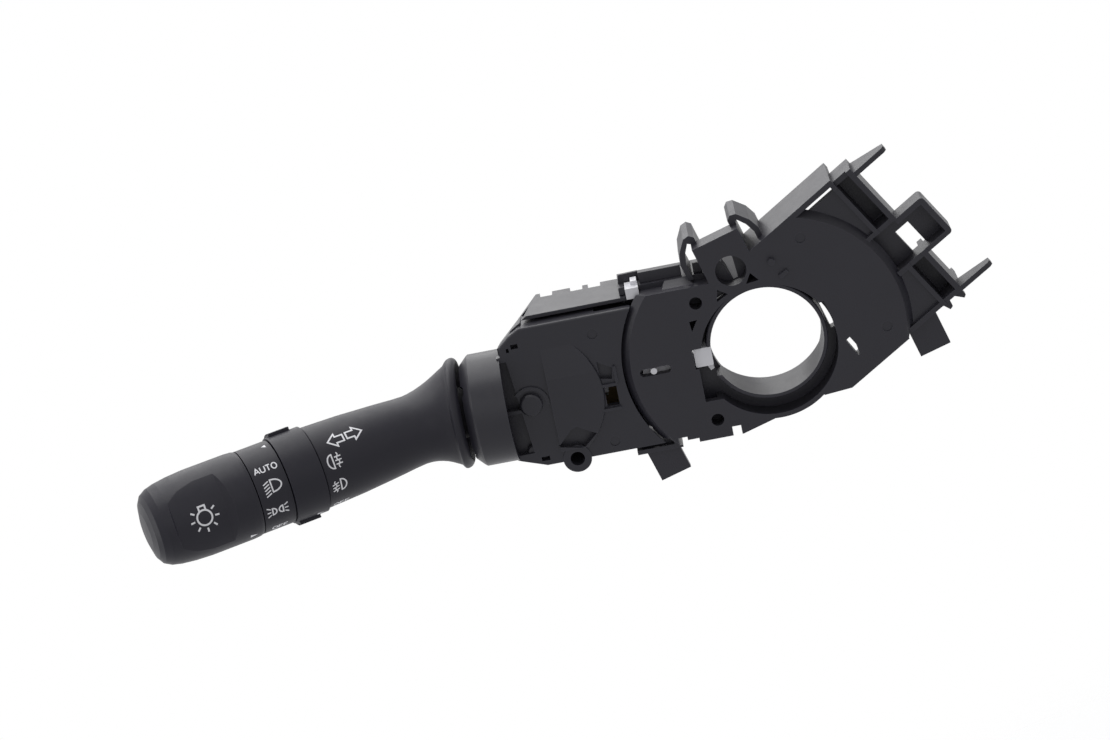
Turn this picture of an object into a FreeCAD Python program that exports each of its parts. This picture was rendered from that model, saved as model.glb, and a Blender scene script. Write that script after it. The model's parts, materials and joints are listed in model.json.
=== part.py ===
import FreeCAD, Part
import math
import os

# Combination stalk switch for a steering column.
# It is modelled face on, in millimetres: X to the driver's right, Y up, Z toward the driver, with the
# origin at the centre of the column bore on the front face. Each piece is turned upright when it is
# saved, so in the saved files Z is up and the driver is on the -Y side.
# The two arms rise to the sides. An arm has its own coordinates: a outward from the bore, b square to
# it and up, z toward the driver. The stalk has its own too: Z along the stalk from the centre of its
# flange, X toward the driver.

V = FreeCAD.Vector
ORIGIN = V(0, 0, 0)
AXIS_X, AXIS_Y, AXIS_Z = V(1, 0, 0), V(0, 1, 0), V(0, 0, 1)

# Fits
RUN = 0.05          # radial clearance of a shaft that turns in its hole
GAP = 0.3           # between faces that move past each other
CUT = 1.0           # how far a cutting tool stands past the face it opens

# Carrier: bore, plate and arms
ARM_TILT = 16.0
BORE_R = 20.0
BORE_LENGTH = 12.0
BORE_BACK_R = 23.0
TUBE_WALL = 1.5
TUBE_DEPTH = 26.0
COVE_X, COVE_Y = -0.6, -3.3     # the cove in front of the tube is off the bore's centre
COVE_R, RIM_R = 24.2, 25.9
COVE_DEPTH, COVE_FLOOR = 8.0, 4.0
PLATE = 3.0
DISC_A, DISC_B = 6.0, -2.5
DISC_R = 45.5
DISC_CHAMFER = 2.5
WALL = 2.0
WALL_DEPTH = 22.0
RIGHT_TOP, RIGHT_LOW, RIGHT_FOOT, RIGHT_HEEL = 29.0, -33.7, 10.3, (1.4, -29.1)
LEFT_TOP, LEFT_LOW, LEFT_FOOT, LEFT_HEEL = 25.0, -32.6, 14.0, (2.2, -29.2)
SHELF_DROP = 3.0
SHELF_END = 54.8
ARM_END = 62.4
CHANNEL_DEPTH = 14.0
FIN_REACH = 13.4
SCREW_R = 2.3
SCREW_A, SCREW_B_UP, SCREW_B_LOW = 22.2, 18.8, -25.6
TAB_IN, TAB_WIDE, TAB_TIP, TAB_TOP = DISC_R, 11.5, -32.3, -17.6
TAB_BACK, TAB_THICK = -8.0, 2.5
BOX_HALF, BOX_START, BOX_STEP, BOX_TOP = 8.75, 23.7, 31.5, 42.2
BOX_FRONT, BOX_DEPTH = 8.0, 20.0
PEG_R, PEG_Y, PEG_BORE, PEG_STEP, PEG_WEB = 5.5, 29.3, 6.0, 0.5, 8.0
EAR_FRONT, EAR_BACK = -5.0, -22.0
RETAINER_IN, RETAINER_BACK = 41.0, -12.0
PIN_SLOT_IN, PIN_SLOT_OUT, PIN_SLOT_W = 34.9, 46.1, 2.9

# Latch at the end of the right arm
LATCH_LOW, LATCH_HIGH = -14.6, 2.4
LATCH_REACH = 11.4
LATCH_RIM_Z = -1.5
LATCH_FLOOR_Z = -8.0
LATCH_HOLE = (58.0, 63.8, -13.0, -3.2)

# Switch module: cover, case and snout
COVER_Z, COVER_BACK = -1.2, -4.3
CASE_IN, CASE_OUT = 46.0, 94.0
CASE_LOW, CASE_TOP = -31.0, 24.0
CASE_BACK = -28.0
COVER_TOP = 21.5
SNOUT_R, SNOUT_B, SNOUT_Z = 20.2, -7.8, -7.5
SNOUT_WALL = 2.0
SNOUT_END = CASE_OUT + 12.3
SNOUT_LIP, LIP_R, DOOR_HALF = 2.6, 17.0, 13.4
PIVOT_A, PIVOT_B = CASE_OUT - 8.0, -7.0
DOME_R = 4.1
DRUM_R, DRUM_RISE = 26.3, 1.4
DRUM_EDGE_A = PIVOT_A - 7.0
BOSS_A, BOSS_B, BOSS_R, BOSS_HOLE_R = PIVOT_A - 12.2, -30.5, 5.1, 2.6
CASE_SCREW_R, CASE_POST_R = 1.25, 3.0
COVER_SKIRT = 1.5
PAWL_SPRING_END = 45.4
CASE_SCREWS = [(CASE_IN + 6.0, 15.5), (CASE_IN + 6.0, -26.5), (CASE_OUT - 5.4, -25.4)]
BOARD = 1.2
TONGUE_IN, TONGUE_LOW, TONGUE_HIGH, TONGUE_BACK = 30.7, -9.0, 5.5, -16.0

# Turn bracket, its trunnions and detents
TURN = 8.0
TRUNNION_R = 3.0
BRACKET_BACK, BRACKET_FRONT = -25.6, -5.2
BRACKET_REACH, BRACKET_NOSE = 4.4, 9.0
BRACKET_IN, BRACKET_OUT = PIVOT_A - BRACKET_NOSE, PIVOT_A + BRACKET_REACH
BRACKET_HALF = 10.0
YOKE_HALF = 7.3
DIMMER_PIN_R = 2.0
HUB_R = 5.4
NOSE_IN = PIVOT_A - 20.0
NOSE_HALF = 4.2
NOSE_Z = -15.0
PLUNGER_R = 2.4
PLUNGER_TIP_A = PIVOT_A - 21.4
TRACK_GAP = 0.4
TRACK_THICK = 4.0
TRACK_SPAN = 54.0
SEAT_SINK = 1.9
TAIL_TIP_A = PIVOT_A - 6.4
DIMMER_PLUNGER_R = 1.5

# Cancel pawl
PAWL_IN, PAWL_OUT, PAWL_LOW, PAWL_HIGH, PAWL_BACK = 19.9, 26.2, -5.2, 1.7, -8.8
PAWL_PIN_A, PAWL_PIN_B, PAWL_PIN_R = 41.1, -3.2, 1.15
SHANK_HALF, SHANK_TOP = 2.4, -4.6

# Stalk
FLANGE_A, FLANGE_B, FLANGE_Z = CASE_OUT + 18.0, -7.5, -7.5
FLANGE_R, FLANGE_THICK, FLANGE_FACE = 19.9, 2.4, -0.6
FLANGE_HOLLOW_R, FLANGE_HOLLOW = 18.2, 1.6
STALK_LIFT, STALK_DROP = 22.8, -2.2
TRUMPET_END = 18.0
NECK_R = 12.7
SHELL_END_R = 15.0
RING_START, BAND_START, KNOB_START, KNOB_TIP = 57.4, 70.0, 81.8, 120.0
SEAM = 0.4
RING_R = 15.8
PAD_R = 17.0
PAD_RIBS = 7
PAD_TURNS = (88.0, -125.0)
BAND_R = 15.2
KNOB_R = 15.7
SHELL_BORE_R = 9.3
CORE_R = 9.0
CORE_BORE_R = 7.2
SHAFT_R = 4.0
KNOB_WALL = 2.2
FACET_R, FACET_DEPTH, FACET_TURN = 20.0, 14.0, -12.0
RING_TURN = 75.0
FOG_TUBE_START, FOG_TUBE_END = 22.0, 68.0
KEY_START, KEY_END, KEY_ANGLE, KEY_W = 61.5, 65.0, 160.0, 3.0
KEY_REACH = 11.5

# Connector behind the case
SHROUD_A0, SHROUD_A1, SHROUD_B0, SHROUD_B1 = 56.0, 76.0, -21.0, -9.0
SHROUD_DEPTH, SHROUD_WALL = 13.0, 1.5
PINS_IN_ROW, PIN_PITCH, PIN_W = 6, 2.5, 0.9


# Basic forms
def box(a0, a1, b0, b1, z0, z1):
    return Part.makeBox(a1 - a0, b1 - b0, z1 - z0, V(a0, b0, z0))


def prism(points, z0, z1):
    wire = Part.makePolygon([V(x, y, z0) for x, y in points + points[:1]])
    return Part.Face(wire).extrude(V(0, 0, z1 - z0))


def rod(r, z0, z1, a=0.0, b=0.0):
    return Part.makeCylinder(r, z1 - z0, V(a, b, z0))


def pipe(r_out, r_in, z0, z1, a=0.0, b=0.0):
    return rod(r_out, z0, z1, a, b).cut(rod(r_in, z0 - CUT, z1 + CUT, a, b))


def sector(r, start, sweep, z0, z1, a=0.0, b=0.0):
    wedge = Part.makeCylinder(r, z1 - z0, V(a, b, z0), AXIS_Z, sweep)
    wedge.rotate(V(a, b, z0), AXIS_Z, start)
    return wedge


def lathe(points):
    wire = Part.makePolygon([V(r, 0, z) for r, z in points + points[:1]])
    return Part.Face(wire).revolve(ORIGIN, AXIS_Z, 360)


def frustum(r0, r1, z0, z1, a=0.0, b=0.0):
    return Part.makeCone(r0, r1, z1 - z0, V(a, b, z0))


def outward(r, a0, a1, b, z):
    """A cylinder that lies along the arm."""
    return Part.makeCylinder(r, a1 - a0, V(a0, b, z), AXIS_X)


def across(r, b0, b1, a, z):
    """A cylinder that lies square to the arm."""
    return Part.makeCylinder(r, b1 - b0, V(a, b0, z), AXIS_Y)


def join(shapes):
    return shapes[0].multiFuse(shapes[1:]).removeSplitter()


def build_up(pieces):
    """Joins large pieces one after another, which keeps the result sound where many of them meet."""
    body = pieces[0]
    for piece in pieces[1:]:
        body = join([body, piece])
    return body


def carve(body, tools):
    for tool in tools:
        body = body.cut(tool)
    return body


def rounded(shape, radius, wanted):
    edges = [edge for edge in shape.Edges if wanted(edge)]
    return shape.makeFillet(radius, edges) if edges else shape


def coil(r, wire_r, turns, length):
    """A wire wound on a helix along Z, from 0 to the length: a compression spring of six-sided wire."""
    helix = Part.makeHelix(length / turns, length, r)
    angles = [math.radians(60 * i) for i in range(7)]
    section = Part.makePolygon([V(r + wire_r * math.cos(g), 0, wire_r * math.sin(g)) for g in angles])
    return Part.Wire(helix).makePipeShell([section], True, True)


# Frames
def on_right(shape):
    return shape.rotated(ORIGIN, AXIS_Z, ARM_TILT)


def on_left(shape):
    return shape.mirror(ORIGIN, AXIS_X).rotated(ORIGIN, AXIS_Z, -ARM_TILT)


def stalk_axes():
    lift, drop = math.radians(STALK_LIFT), math.radians(STALK_DROP)
    along = V(math.cos(lift) * math.cos(drop), math.cos(lift) * math.sin(drop), math.sin(lift))
    front = (AXIS_Z - along * along.z).normalize()
    return front, along.cross(front), along


def stalk_to_arm(shape):
    front, side, along = stalk_axes()
    frame = FreeCAD.Placement(V(FLANGE_A, FLANGE_B, FLANGE_Z), FreeCAD.Rotation(front, side, along, "ZXY"))
    placed = shape.copy()
    placed.Placement = frame.multiply(placed.Placement)
    return placed


def on_stalk(shape):
    return on_left(stalk_to_arm(shape))


def dimmer_pin_place():
    """Where the stalk's axis passes over the turn pivot, in left arm coordinates."""
    along = stalk_axes()[2]
    reach = (PIVOT_A - FLANGE_A) / along.x
    return V(FLANGE_A, FLANGE_B, FLANGE_Z) + along * reach


# Column carrier
def bore_tube():
    """The tube that fits round the column, stepped wider behind, with a small chamfer at its mouth."""
    wall_r = BORE_R + TUBE_WALL
    back_r = BORE_BACK_R + TUBE_WALL
    floor = -COVE_DEPTH - COVE_FLOOR
    return lathe([(BORE_R, 0), (BORE_R, -BORE_LENGTH), (BORE_BACK_R - 1.5, -BORE_LENGTH - 1.5),
                  (BORE_BACK_R - 1.5, -BORE_LENGTH - 7.5), (BORE_BACK_R, -BORE_LENGTH - 9.0),
                  (BORE_BACK_R, -TUBE_DEPTH), (back_r, -TUBE_DEPTH), (back_r, floor),
                  (wall_r, floor), (wall_r, -0.6), (wall_r - 0.4, 0)])


def cove_pocket():
    """Outline of the square pocket below the pawl, in left arm coordinates."""
    return [(13.5, PAWL_LOW), (25.3, PAWL_LOW), (25.2, -18.2), (17.2, -18.2), (13.5, -21.3)]


def cove_cup():
    """The cup round the tube's mouth: its floor, its rim and the floor of the pocket."""
    floor = -COVE_DEPTH - COVE_FLOOR
    cup = rod(RIM_R, floor, 0, COVE_X, COVE_Y).cut(rod(COVE_R, -COVE_DEPTH, CUT, COVE_X, COVE_Y))
    ledge = [(13.5, PAWL_LOW), (27.3, PAWL_LOW), (27.2, -20.2), (17.2, -20.2), (13.5, -22.8)]
    return join([cup, on_left(prism(ledge, floor, -COVE_DEPTH))]).cut(rod(BORE_R + 0.7, floor - CUT, CUT))


def arm_plate(top, low, foot, heel):
    reach = DISC_A + DISC_R + CUT
    outline = [(0, 0), heel, (foot, low), (37.0, low), (40.5, low + 3.0), (reach, low + 3.0), (reach, top),
               (4, top)]
    edge = frustum(DISC_R, DISC_R - DISC_CHAMFER, -PLATE, 0, DISC_A, DISC_B)
    return prism(outline, -PLATE, 0).common(edge)


def right_slot():
    """The empty slot for the wiper switch: walls, shelf, rails, channel and bulkhead."""
    top, low = RIGHT_TOP, RIGHT_LOW
    inner_top = top - WALL
    end_low = low + 0.5
    wall_back, floor = -WALL_DEPTH, -CHANNEL_DEPTH
    bend = [(36, low), (37, low), (41, low + 3.2), (41, low + 5.0), (36, low + WALL)]
    walls = [box(14, SHELF_END, inner_top, top, wall_back, 0),
             box(SHELF_END, ARM_END, inner_top - 2.0, inner_top, floor, -SHELF_DROP),
             box(SHELF_END - WALL, SHELF_END, inner_top - 2.0, top, floor, 0),
             box(RIGHT_FOOT, 37.0, low, low + WALL, wall_back, 0),
             prism(bend, wall_back, -PLATE),
             box(39.0, ARM_END, end_low, end_low + 1.8, wall_back, LATCH_RIM_Z),
             box(27.0, 28.6, low + 1.0, top - 1.0, wall_back, -PLATE)]
    shelf_top = inner_top + 0.5
    shelf = prism([(37.0, low + 3.0), (SHELF_END, end_low), (SHELF_END, shelf_top), (37.0, shelf_top)],
                  -SHELF_DROP - 2.5, -SHELF_DROP)
    rail = box(SHELF_END - 1.6, SHELF_END, end_low, inner_top, floor, -1.2)
    floors = [box(SHELF_END - 0.5, ARM_END, LATCH_HIGH + 1.6, inner_top, floor, floor + 2.0),
              box(SHELF_END - 0.5, ARM_END, end_low, LATCH_LOW, floor, floor + 2.0)]
    end_wall = box(ARM_END - WALL, ARM_END, end_low, inner_top, floor, -1.2)
    body = join(walls + [shelf, rail, end_wall] + floors)
    well = box(50.0, ARM_END + CUT, LATCH_LOW + 1.8, LATCH_HIGH, LATCH_FLOOR_Z, CUT)
    window = box(39.0, SHELF_END - 1.6, inner_top - 2.4, inner_top, -SHELF_DROP - 3.0, CUT)
    return body.cut([well, window, latch_opening()])


def latch_opening():
    """The square hole through the tray's floor and the end wall under it."""
    a0, a1, b0, b1 = LATCH_HOLE
    return box(a0, a1, b0, b1, -CHANNEL_DEPTH - CUT, LATCH_FLOOR_Z + CUT)


def latch_tray():
    """The tray past the arm's end that the wiper switch's hook drops into."""
    tip = ARM_END + LATCH_REACH
    tray = box(49.5, tip, LATCH_LOW, LATCH_HIGH + 1.6, LATCH_FLOOR_Z - 2.0, LATCH_RIM_Z)
    tray = tray.cut(box(ARM_END, tip + CUT, LATCH_HIGH, LATCH_HIGH + 4.0, LATCH_FLOOR_Z - 3.0, CUT))
    tray = rounded(tray, 1.5, lambda e: e.BoundBox.ZLength > 5 and e.BoundBox.XMin > tip - 0.1)
    hollow = box(49.0, tip - WALL, LATCH_LOW + 1.8, LATCH_HIGH, LATCH_FLOOR_Z, CUT)
    side_low, side_back = LATCH_HIGH - WALL, LATCH_FLOOR_Z - CUT
    hollow = hollow.cut(box(ARM_END - 1.0, tip, side_low, LATCH_HIGH + CUT, side_back, CUT + 1))
    return tray.cut([hollow, latch_opening()])


def fin(b, root_depth):
    """A guide fin past the arm's end, tapering toward its tip."""
    tip = ARM_END + FIN_REACH
    side = [(ARM_END - 1.0, -1.5), (tip - 1.0, -1.5), (tip, -2.5), (tip, -5.5), (ARM_END - 1.0, -root_depth)]
    wire = Part.makePolygon([V(a, b, z) for a, z in side + side[:1]])
    return Part.Face(wire).extrude(V(0, 1.8, 0))


def left_ledge():
    """The stepped top of the left arm, where the switch module is held, with the retainer's pocket."""
    top, end = LEFT_TOP, CASE_IN - GAP
    steps = [box(12, end, top - 1.6, top, -7.0, -PLATE + 0.5),
             box(12, end, top - 1.6, top + WALL, -8.6, -7.0),
             box(12, CASE_IN + 2.0, CASE_TOP + GAP, top + WALL, -WALL_DEPTH - 2.0, -8.0)]
    pocket = box(RETAINER_IN - GAP, CASE_IN, top - 4.0, top + 4.0, RETAINER_BACK - GAP, CUT)
    return join(steps).cut(pocket)


def left_foot():
    """The bottom wall of the left arm, with the ledge and the pad under the switch module."""
    low = LEFT_LOW
    foot = box(LEFT_FOOT, 38.0, low, low + 1.6, -WALL_DEPTH, -PLATE + 0.5)
    step = box(36.0, 52.5, low - 1.8, low - 0.2, -11.0, -PLATE + 0.2)
    web = box(36.0, 39.0, low - 1.8, low + 1.6, -11.0, -PLATE + 0.2)
    pad = box(46.5, 51.0, low - 1.0, CASE_LOW - GAP, -11.0, -8.6)
    return join([foot, step, web, pad])


def tab():
    """A flat tab that hangs below an arm, drawn for the right side."""
    return box(TAB_IN, TAB_IN + TAB_WIDE, TAB_TIP, TAB_TOP, TAB_BACK, TAB_BACK + TAB_THICK)


def ear(side):
    """A sprung clip ear beside the top box: a wide arched strip, open under its arch."""
    outer = [(6.5, 38.0), (6.5, 44.6), (8.0, 46.0), (10.2, 45.6), (13.6, 41.6), (15.2, 37.6), (15.2, 31.0)]
    inner = [(8.4, 37.0), (8.4, 42.8), (9.6, 43.6), (11.8, 40.6), (13.2, 37.0), (13.2, 31.0)]
    way = prism(inner + [(8.4, 31.0)], EAR_BACK - CUT, EAR_FRONT + CUT)
    shape = prism(outer + [(6.5, 31.0)], EAR_BACK, EAR_FRONT).cut(way)
    if side < 0:
        shape = shape.mirror(ORIGIN, AXIS_X)
    return shape


def top_box():
    """The box above the bore: a tall front, and a low block behind it."""
    return join([box(-BOX_HALF, BOX_HALF, BOX_START, BOX_TOP, -BOX_FRONT, 0),
                 box(-BOX_HALF, BOX_HALF, BOX_START, BOX_STEP, -BOX_DEPTH, -BOX_FRONT)])


def top_box_openings():
    """The round locating hole, and behind it a narrower way over a ramp, between two webs."""
    hole = rod(PEG_R, -PEG_BORE, CUT, 0, PEG_Y)
    way_r, back = PEG_R - PEG_STEP, -BOX_DEPTH - CUT
    side = [(-PEG_BORE, PEG_Y - way_r), (back, BOX_STEP), (back, PEG_Y + PEG_R), (-PEG_BORE, PEG_Y + PEG_R)]
    wire = Part.makePolygon([V(-PEG_R, y, z) for z, y in side + side[:1]])
    over_ramp = Part.Face(wire).extrude(V(2 * PEG_R, 0, 0))
    way = rod(way_r, back, -PEG_BORE, 0, PEG_Y).common(over_ramp)
    far = PEG_R + CUT
    web_outline = [(-far, PEG_Y - far), (-0.6, PEG_Y - far), (-3.0, PEG_Y + far), (-far, PEG_Y + far)]
    web = prism(web_outline, -PEG_BORE - PEG_WEB, -PEG_BORE)
    return [hole, way.cut([web, web.mirror(ORIGIN, AXIS_X)])]


def plate_openings():
    """Screw holes, slots and windows through the front plate, in plan coordinates."""
    through = -PLATE - 3.0
    holes = [on_left(rod(SCREW_R, through, CUT, SCREW_A, SCREW_B_UP)),
             on_left(rod(SCREW_R, through, CUT, SCREW_A, SCREW_B_LOW))]
    half = PIN_SLOT_W / 2
    start, end = PIN_SLOT_IN + half, PIN_SLOT_OUT - half
    slot = join([box(start, end, -half, half, through, CUT), rod(half, through, CUT, start, 0),
                 rod(half, through, CUT, end, 0)])
    holes.append(on_left(slot.translated(V(0, PAWL_PIN_B, 0))))
    pawl_floor = PAWL_BACK - GAP
    holes.append(on_left(box(BORE_R - 3.0, PAWL_OUT + GAP, PAWL_LOW - GAP, PAWL_HIGH + GAP, pawl_floor, CUT)))
    hook_way = [(14.0, -9.2), (21.6, -9.2), (24.4, PAWL_LOW), (24.4, -4.0), (14.0, -4.0)]
    holes.append(on_left(prism(hook_way, pawl_floor, CUT)))
    shank_low, shank_high = PAWL_PIN_B - SHANK_HALF - GAP, PAWL_PIN_B + SHANK_HALF + GAP
    holes.append(on_left(box(BORE_R, TONGUE_IN, shank_low, shank_high, pawl_floor, -PLATE)))
    holes.append(on_left(prism([(25.7, 12.5), (22.8, 12.7), (25.3, 8.6)], through, CUT)))
    for corners in ([(5.6, 25.5), (7.3, 21.7), (2.6, 22.5)], [(-7.3, 25.2), (-4.6, 22.1), (-9.3, 21.2)],
                    [(24.7, -12.5), (26.4, -11.9), (27.3, -15.3), (26.9, -19.4), (26.2, -19.2)]):
        holes.append(prism(corners, through, CUT))
    step = DISC_R - 11.5
    for a0, a1, top in ((14.5, 17.7, -29.2), (step - 4.1, step, -31.1), (step, step + 3.2, -29.8)):
        holes.append(on_left(box(a0, a1, LEFT_LOW - CUT, top, -WALL_DEPTH - CUT, CUT)))
    return holes + crescent_window()


def crescent_window():
    """The opening beside the bore, through the plate, the cup's floor and the tube's wall behind it."""
    floor = -COVE_DEPTH - COVE_FLOOR
    wall_r, high = BORE_R + TUBE_WALL + 0.1, 4.4
    return [box(wall_r, COVE_R - 0.2, -4.3, high, -PLATE - CUT, CUT),
            box(wall_r, COVE_R + 0.4, -8.6, high, floor - CUT, -COVE_DEPTH + CUT),
            box(BORE_R - 0.5, RIM_R, -14.0, high, -TUBE_DEPTH - CUT, floor)]


def dimples(places):
    """Ejector marks: shallow round recesses."""
    return [rod(1.9, -0.35, CUT, a, b) for a, b in places]


def column_carrier():
    """The moulded frame: two plated arms round the bored tube, with the slot, the ledges and the top box."""
    left_plate = on_left(arm_plate(LEFT_TOP, LEFT_LOW, LEFT_FOOT, LEFT_HEEL))
    right_plate = on_right(arm_plate(RIGHT_TOP, RIGHT_LOW, RIGHT_FOOT, RIGHT_HEEL))
    pocket = on_left(prism(cove_pocket(), -COVE_DEPTH, CUT))
    plate = join([left_plate, right_plate]).cut([rod(BORE_R + 0.8, -PLATE - CUT, CUT), pocket,
                                                 rod(COVE_R, -PLATE - CUT, CUT, COVE_X, COVE_Y)])
    plate = plate.cut([on_right(hole) for hole in dimples([(33.6, 20.5), (34.3, -24.8)])])
    slot = join([right_slot(), latch_tray(), fin(RIGHT_TOP - 5.8, 14.0), fin(RIGHT_LOW + 0.2, 10.0)])
    peg_and_rib = join([rod(1.2, -1, 1.6, 20.7, 21.2), box(19.2, 22.6, 14.2, 15.6, -1, 1.0)])
    left = [on_left(piece) for piece in (left_ledge(), left_foot())]
    right = [on_right(piece) for piece in (slot, peg_and_rib)]
    clips = [ear(1), ear(-1), tab(), tab().mirror(ORIGIN, AXIS_X)]
    body = build_up([plate, top_box(), cove_cup().cut(pocket), bore_tube()] + right + left + clips)
    return carve(body, plate_openings() + top_box_openings() + [rod(BORE_R, -BORE_LENGTH, CUT)])


# Switch module
def snout():
    """The barrel that the stalk comes out of, drawn in at its end so that the flange can swing past it."""
    lip, wall = SNOUT_END + SNOUT_LIP, SNOUT_WALL
    outside = [(0, CASE_OUT), (SNOUT_R, CASE_OUT), (SNOUT_R, SNOUT_END - 0.8), (SNOUT_R - 0.6, SNOUT_END),
               (LIP_R, lip), (0, lip)]
    inside = [(0, CASE_OUT - CUT), (SNOUT_R - wall, CASE_OUT - CUT), (SNOUT_R - wall, SNOUT_END - wall),
              (LIP_R - 1.0, lip - wall), (0, lip - wall)]
    shell, hollow = [lathe(points).rotated(ORIGIN, AXIS_Y, 90).translated(V(0, SNOUT_B, SNOUT_Z))
                     for points in (outside, inside)]
    doorway = box(SNOUT_END - 6.0, lip + CUT, FLANGE_B - DOOR_HALF, FLANGE_B + DOOR_HALF, -21.0, 6.0)
    doorway = rounded(doorway, 3.0, lambda e: e.BoundBox.XLength > 5)
    return shell.cut([hollow, doorway])


def cover_outline():
    edge, end = CASE_OUT - 0.6, CASE_OUT + 0.8
    start = CASE_IN - 8.0
    return [(start, COVER_TOP), (edge - 8.4, COVER_TOP), (edge - 4.4, COVER_TOP - 2.3),
            (edge, COVER_TOP - 6.0), (edge, 12.3), (end, 12.0), (end, -27.2), (edge - 0.2, -27.9),
            (edge - 8.7, CASE_LOW), (start, CASE_LOW)]


def cover_drum():
    """The raised round field on the cover, which sinks into it toward the top."""
    high = COVER_Z + DRUM_RISE
    drum = rod(DRUM_R, COVER_BACK, high, PIVOT_A, PIVOT_B)
    drum = rounded(drum, DRUM_RISE - 0.2, lambda e: e.BoundBox.ZMin > high - 0.1)
    side = [(-26.5, high), (1.0, high), (13.0, COVER_Z - 0.1), (13.0, COVER_BACK), (-26.5, COVER_BACK)]
    wire = Part.makePolygon([V(PIVOT_A - DRUM_R - CUT, b, z) for b, z in side + side[:1]])
    field = Part.Face(wire).extrude(V(DRUM_R + CUT - (PIVOT_A - DRUM_EDGE_A), 0, 0))
    return drum.common(field)


def cover_skirt():
    return box(CASE_IN + 12.0, CASE_OUT - 10.0, COVER_TOP - COVER_SKIRT, COVER_TOP, -12.0, COVER_BACK)


def cover_pockets():
    """The crescent that shows the snout's inside, the pockets beside the drum, slots and ejector marks."""
    through, end = COVER_BACK - CUT, CASE_OUT + 0.9
    crescent = [(PIVOT_A + 5.6, 10.2), (end, 10.2), (end, -25.6), (PIVOT_A + 2.4, -25.6)]
    side = [(-30.6, 0.8), (-25.6, 4.0), (-25.8, -2.6), (-29.8, -3.4)]
    low = [(-6.4, -24.6), (-11.8, -19.0), (-14.1, -18.0), (-20.8, -22.0), (-15.4, -26.6)]
    pockets = [prism(crescent, through, CUT),
               prism([(PIVOT_A + a, b) for a, b in side], COVER_Z - 2.0, CUT),
               prism([(PIVOT_A + a, b) for a, b in low], COVER_Z - 1.8, CUT)]
    slots = [(-30.8, -26.4, -13.4, -6.2), (0.4, 3.0, 14.4, 16.2), (3.8, 4.8, 13.4, 15.0),
             (-2.6, 0.4, -29.2, -27.6)]
    pockets += [box(PIVOT_A + a0, PIVOT_A + a1, b0, b1, through, CUT) for a0, a1, b0, b1 in slots]
    marks = dimples([(PIVOT_A - 26.1, 14.5), (PIVOT_A - 26.5, -26.7)])
    return pockets + [mark.translated(V(0, 0, COVER_Z)) for mark in marks]


def switch_cover():
    """The module's front cover, with the snout that the stalk comes out of."""
    disc = rod(DISC_R + 0.4, COVER_BACK - CUT, CUT, DISC_A, DISC_B)
    plate = prism(cover_outline(), COVER_BACK, COVER_Z)
    corner = COVER_TOP - 6.1
    plate = rounded(plate, 0.8, lambda e: e.BoundBox.ZMin > COVER_Z - 0.01 and e.BoundBox.YMin > corner)
    body = carve(join([plate, cover_drum(), cover_skirt()]), [disc] + cover_pockets())
    dome = rod(DOME_R, COVER_BACK, COVER_Z + 2.0, PIVOT_A, PIVOT_B)
    dome = rounded(dome, 0.9, lambda e: e.BoundBox.ZMin > COVER_Z + 1.9)
    arc = pipe(6.6, 5.4, COVER_Z - 0.5, COVER_Z + 0.7, PIVOT_A, PIVOT_B)
    arc = arc.common(sector(8.0, 40.0, 150.0, COVER_Z - 1, CUT, PIVOT_A, PIVOT_B))
    rib_root, rib_in = COVER_Z - 0.5, PIVOT_A - 31.2
    ribs = [box(PIVOT_A + 2.0, CASE_OUT + 2.0, -9.6, -8.4, COVER_BACK, COVER_Z + 0.5),
            box(rib_in, rib_in + 6.2, -5.6, -4.8, rib_root, COVER_Z + 0.9),
            box(rib_in, rib_in + 6.7, -14.8, -13.8, rib_root, COVER_Z + 1.1),
            box(rib_in - 0.6, rib_in + 0.4, -4.8, 1.4, rib_root, COVER_Z + 0.9)]
    boss = rod(BOSS_R, -14.0, COVER_Z + 0.5, BOSS_A, BOSS_B)
    bearing = rod(TRUNNION_R + 2.0, BRACKET_FRONT + 0.4, COVER_BACK, PIVOT_A, PIVOT_B)
    whole = build_up([body, snout(), dome, arc, boss, bearing] + ribs)
    socket = rod(TRUNNION_R + RUN, BRACKET_FRONT - CUT, COVER_Z - 0.6, PIVOT_A, PIVOT_B)
    screw_seats = [rod(CASE_SCREW_R, COVER_BACK - CUT, COVER_Z - 0.8, a, b) for a, b in CASE_SCREWS]
    return carve(whole, [rod(BOSS_HOLE_R, -15.0, CUT, BOSS_A, BOSS_B), socket] + screw_seats)


def case_body():
    """A tub that leans in at its outer top corner toward the back."""
    end = CASE_OUT
    low_end = [(CASE_IN, CASE_LOW), (end - 9.0, CASE_LOW), (end, -27.5)]
    front = low_end + [(end, 14.6), (end - 6.5, 20.6), (end - 12.0, CASE_TOP), (CASE_IN, CASE_TOP)]
    back = low_end + [(end, 8.7), (end - 7.8, 15.9), (end - 16.0, CASE_TOP), (CASE_IN, CASE_TOP)]
    wires = [Part.makePolygon([V(a, b, z) for a, b in points + points[:1]])
             for points, z in ((back, CASE_BACK), (front, COVER_BACK))]
    return Part.makeLoft(wires, True, True)


def connector_shroud():
    """The open box behind the case that the connector plugs into."""
    back, w = CASE_BACK - SHROUD_DEPTH, SHROUD_WALL
    shroud = box(SHROUD_A0, SHROUD_A1, SHROUD_B0, SHROUD_B1, back, CASE_BACK + WALL)
    return shroud.cut(box(SHROUD_A0 + w, SHROUD_A1 - w, SHROUD_B0 + w, SHROUD_B1 - w, back - CUT, CASE_BACK))


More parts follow.
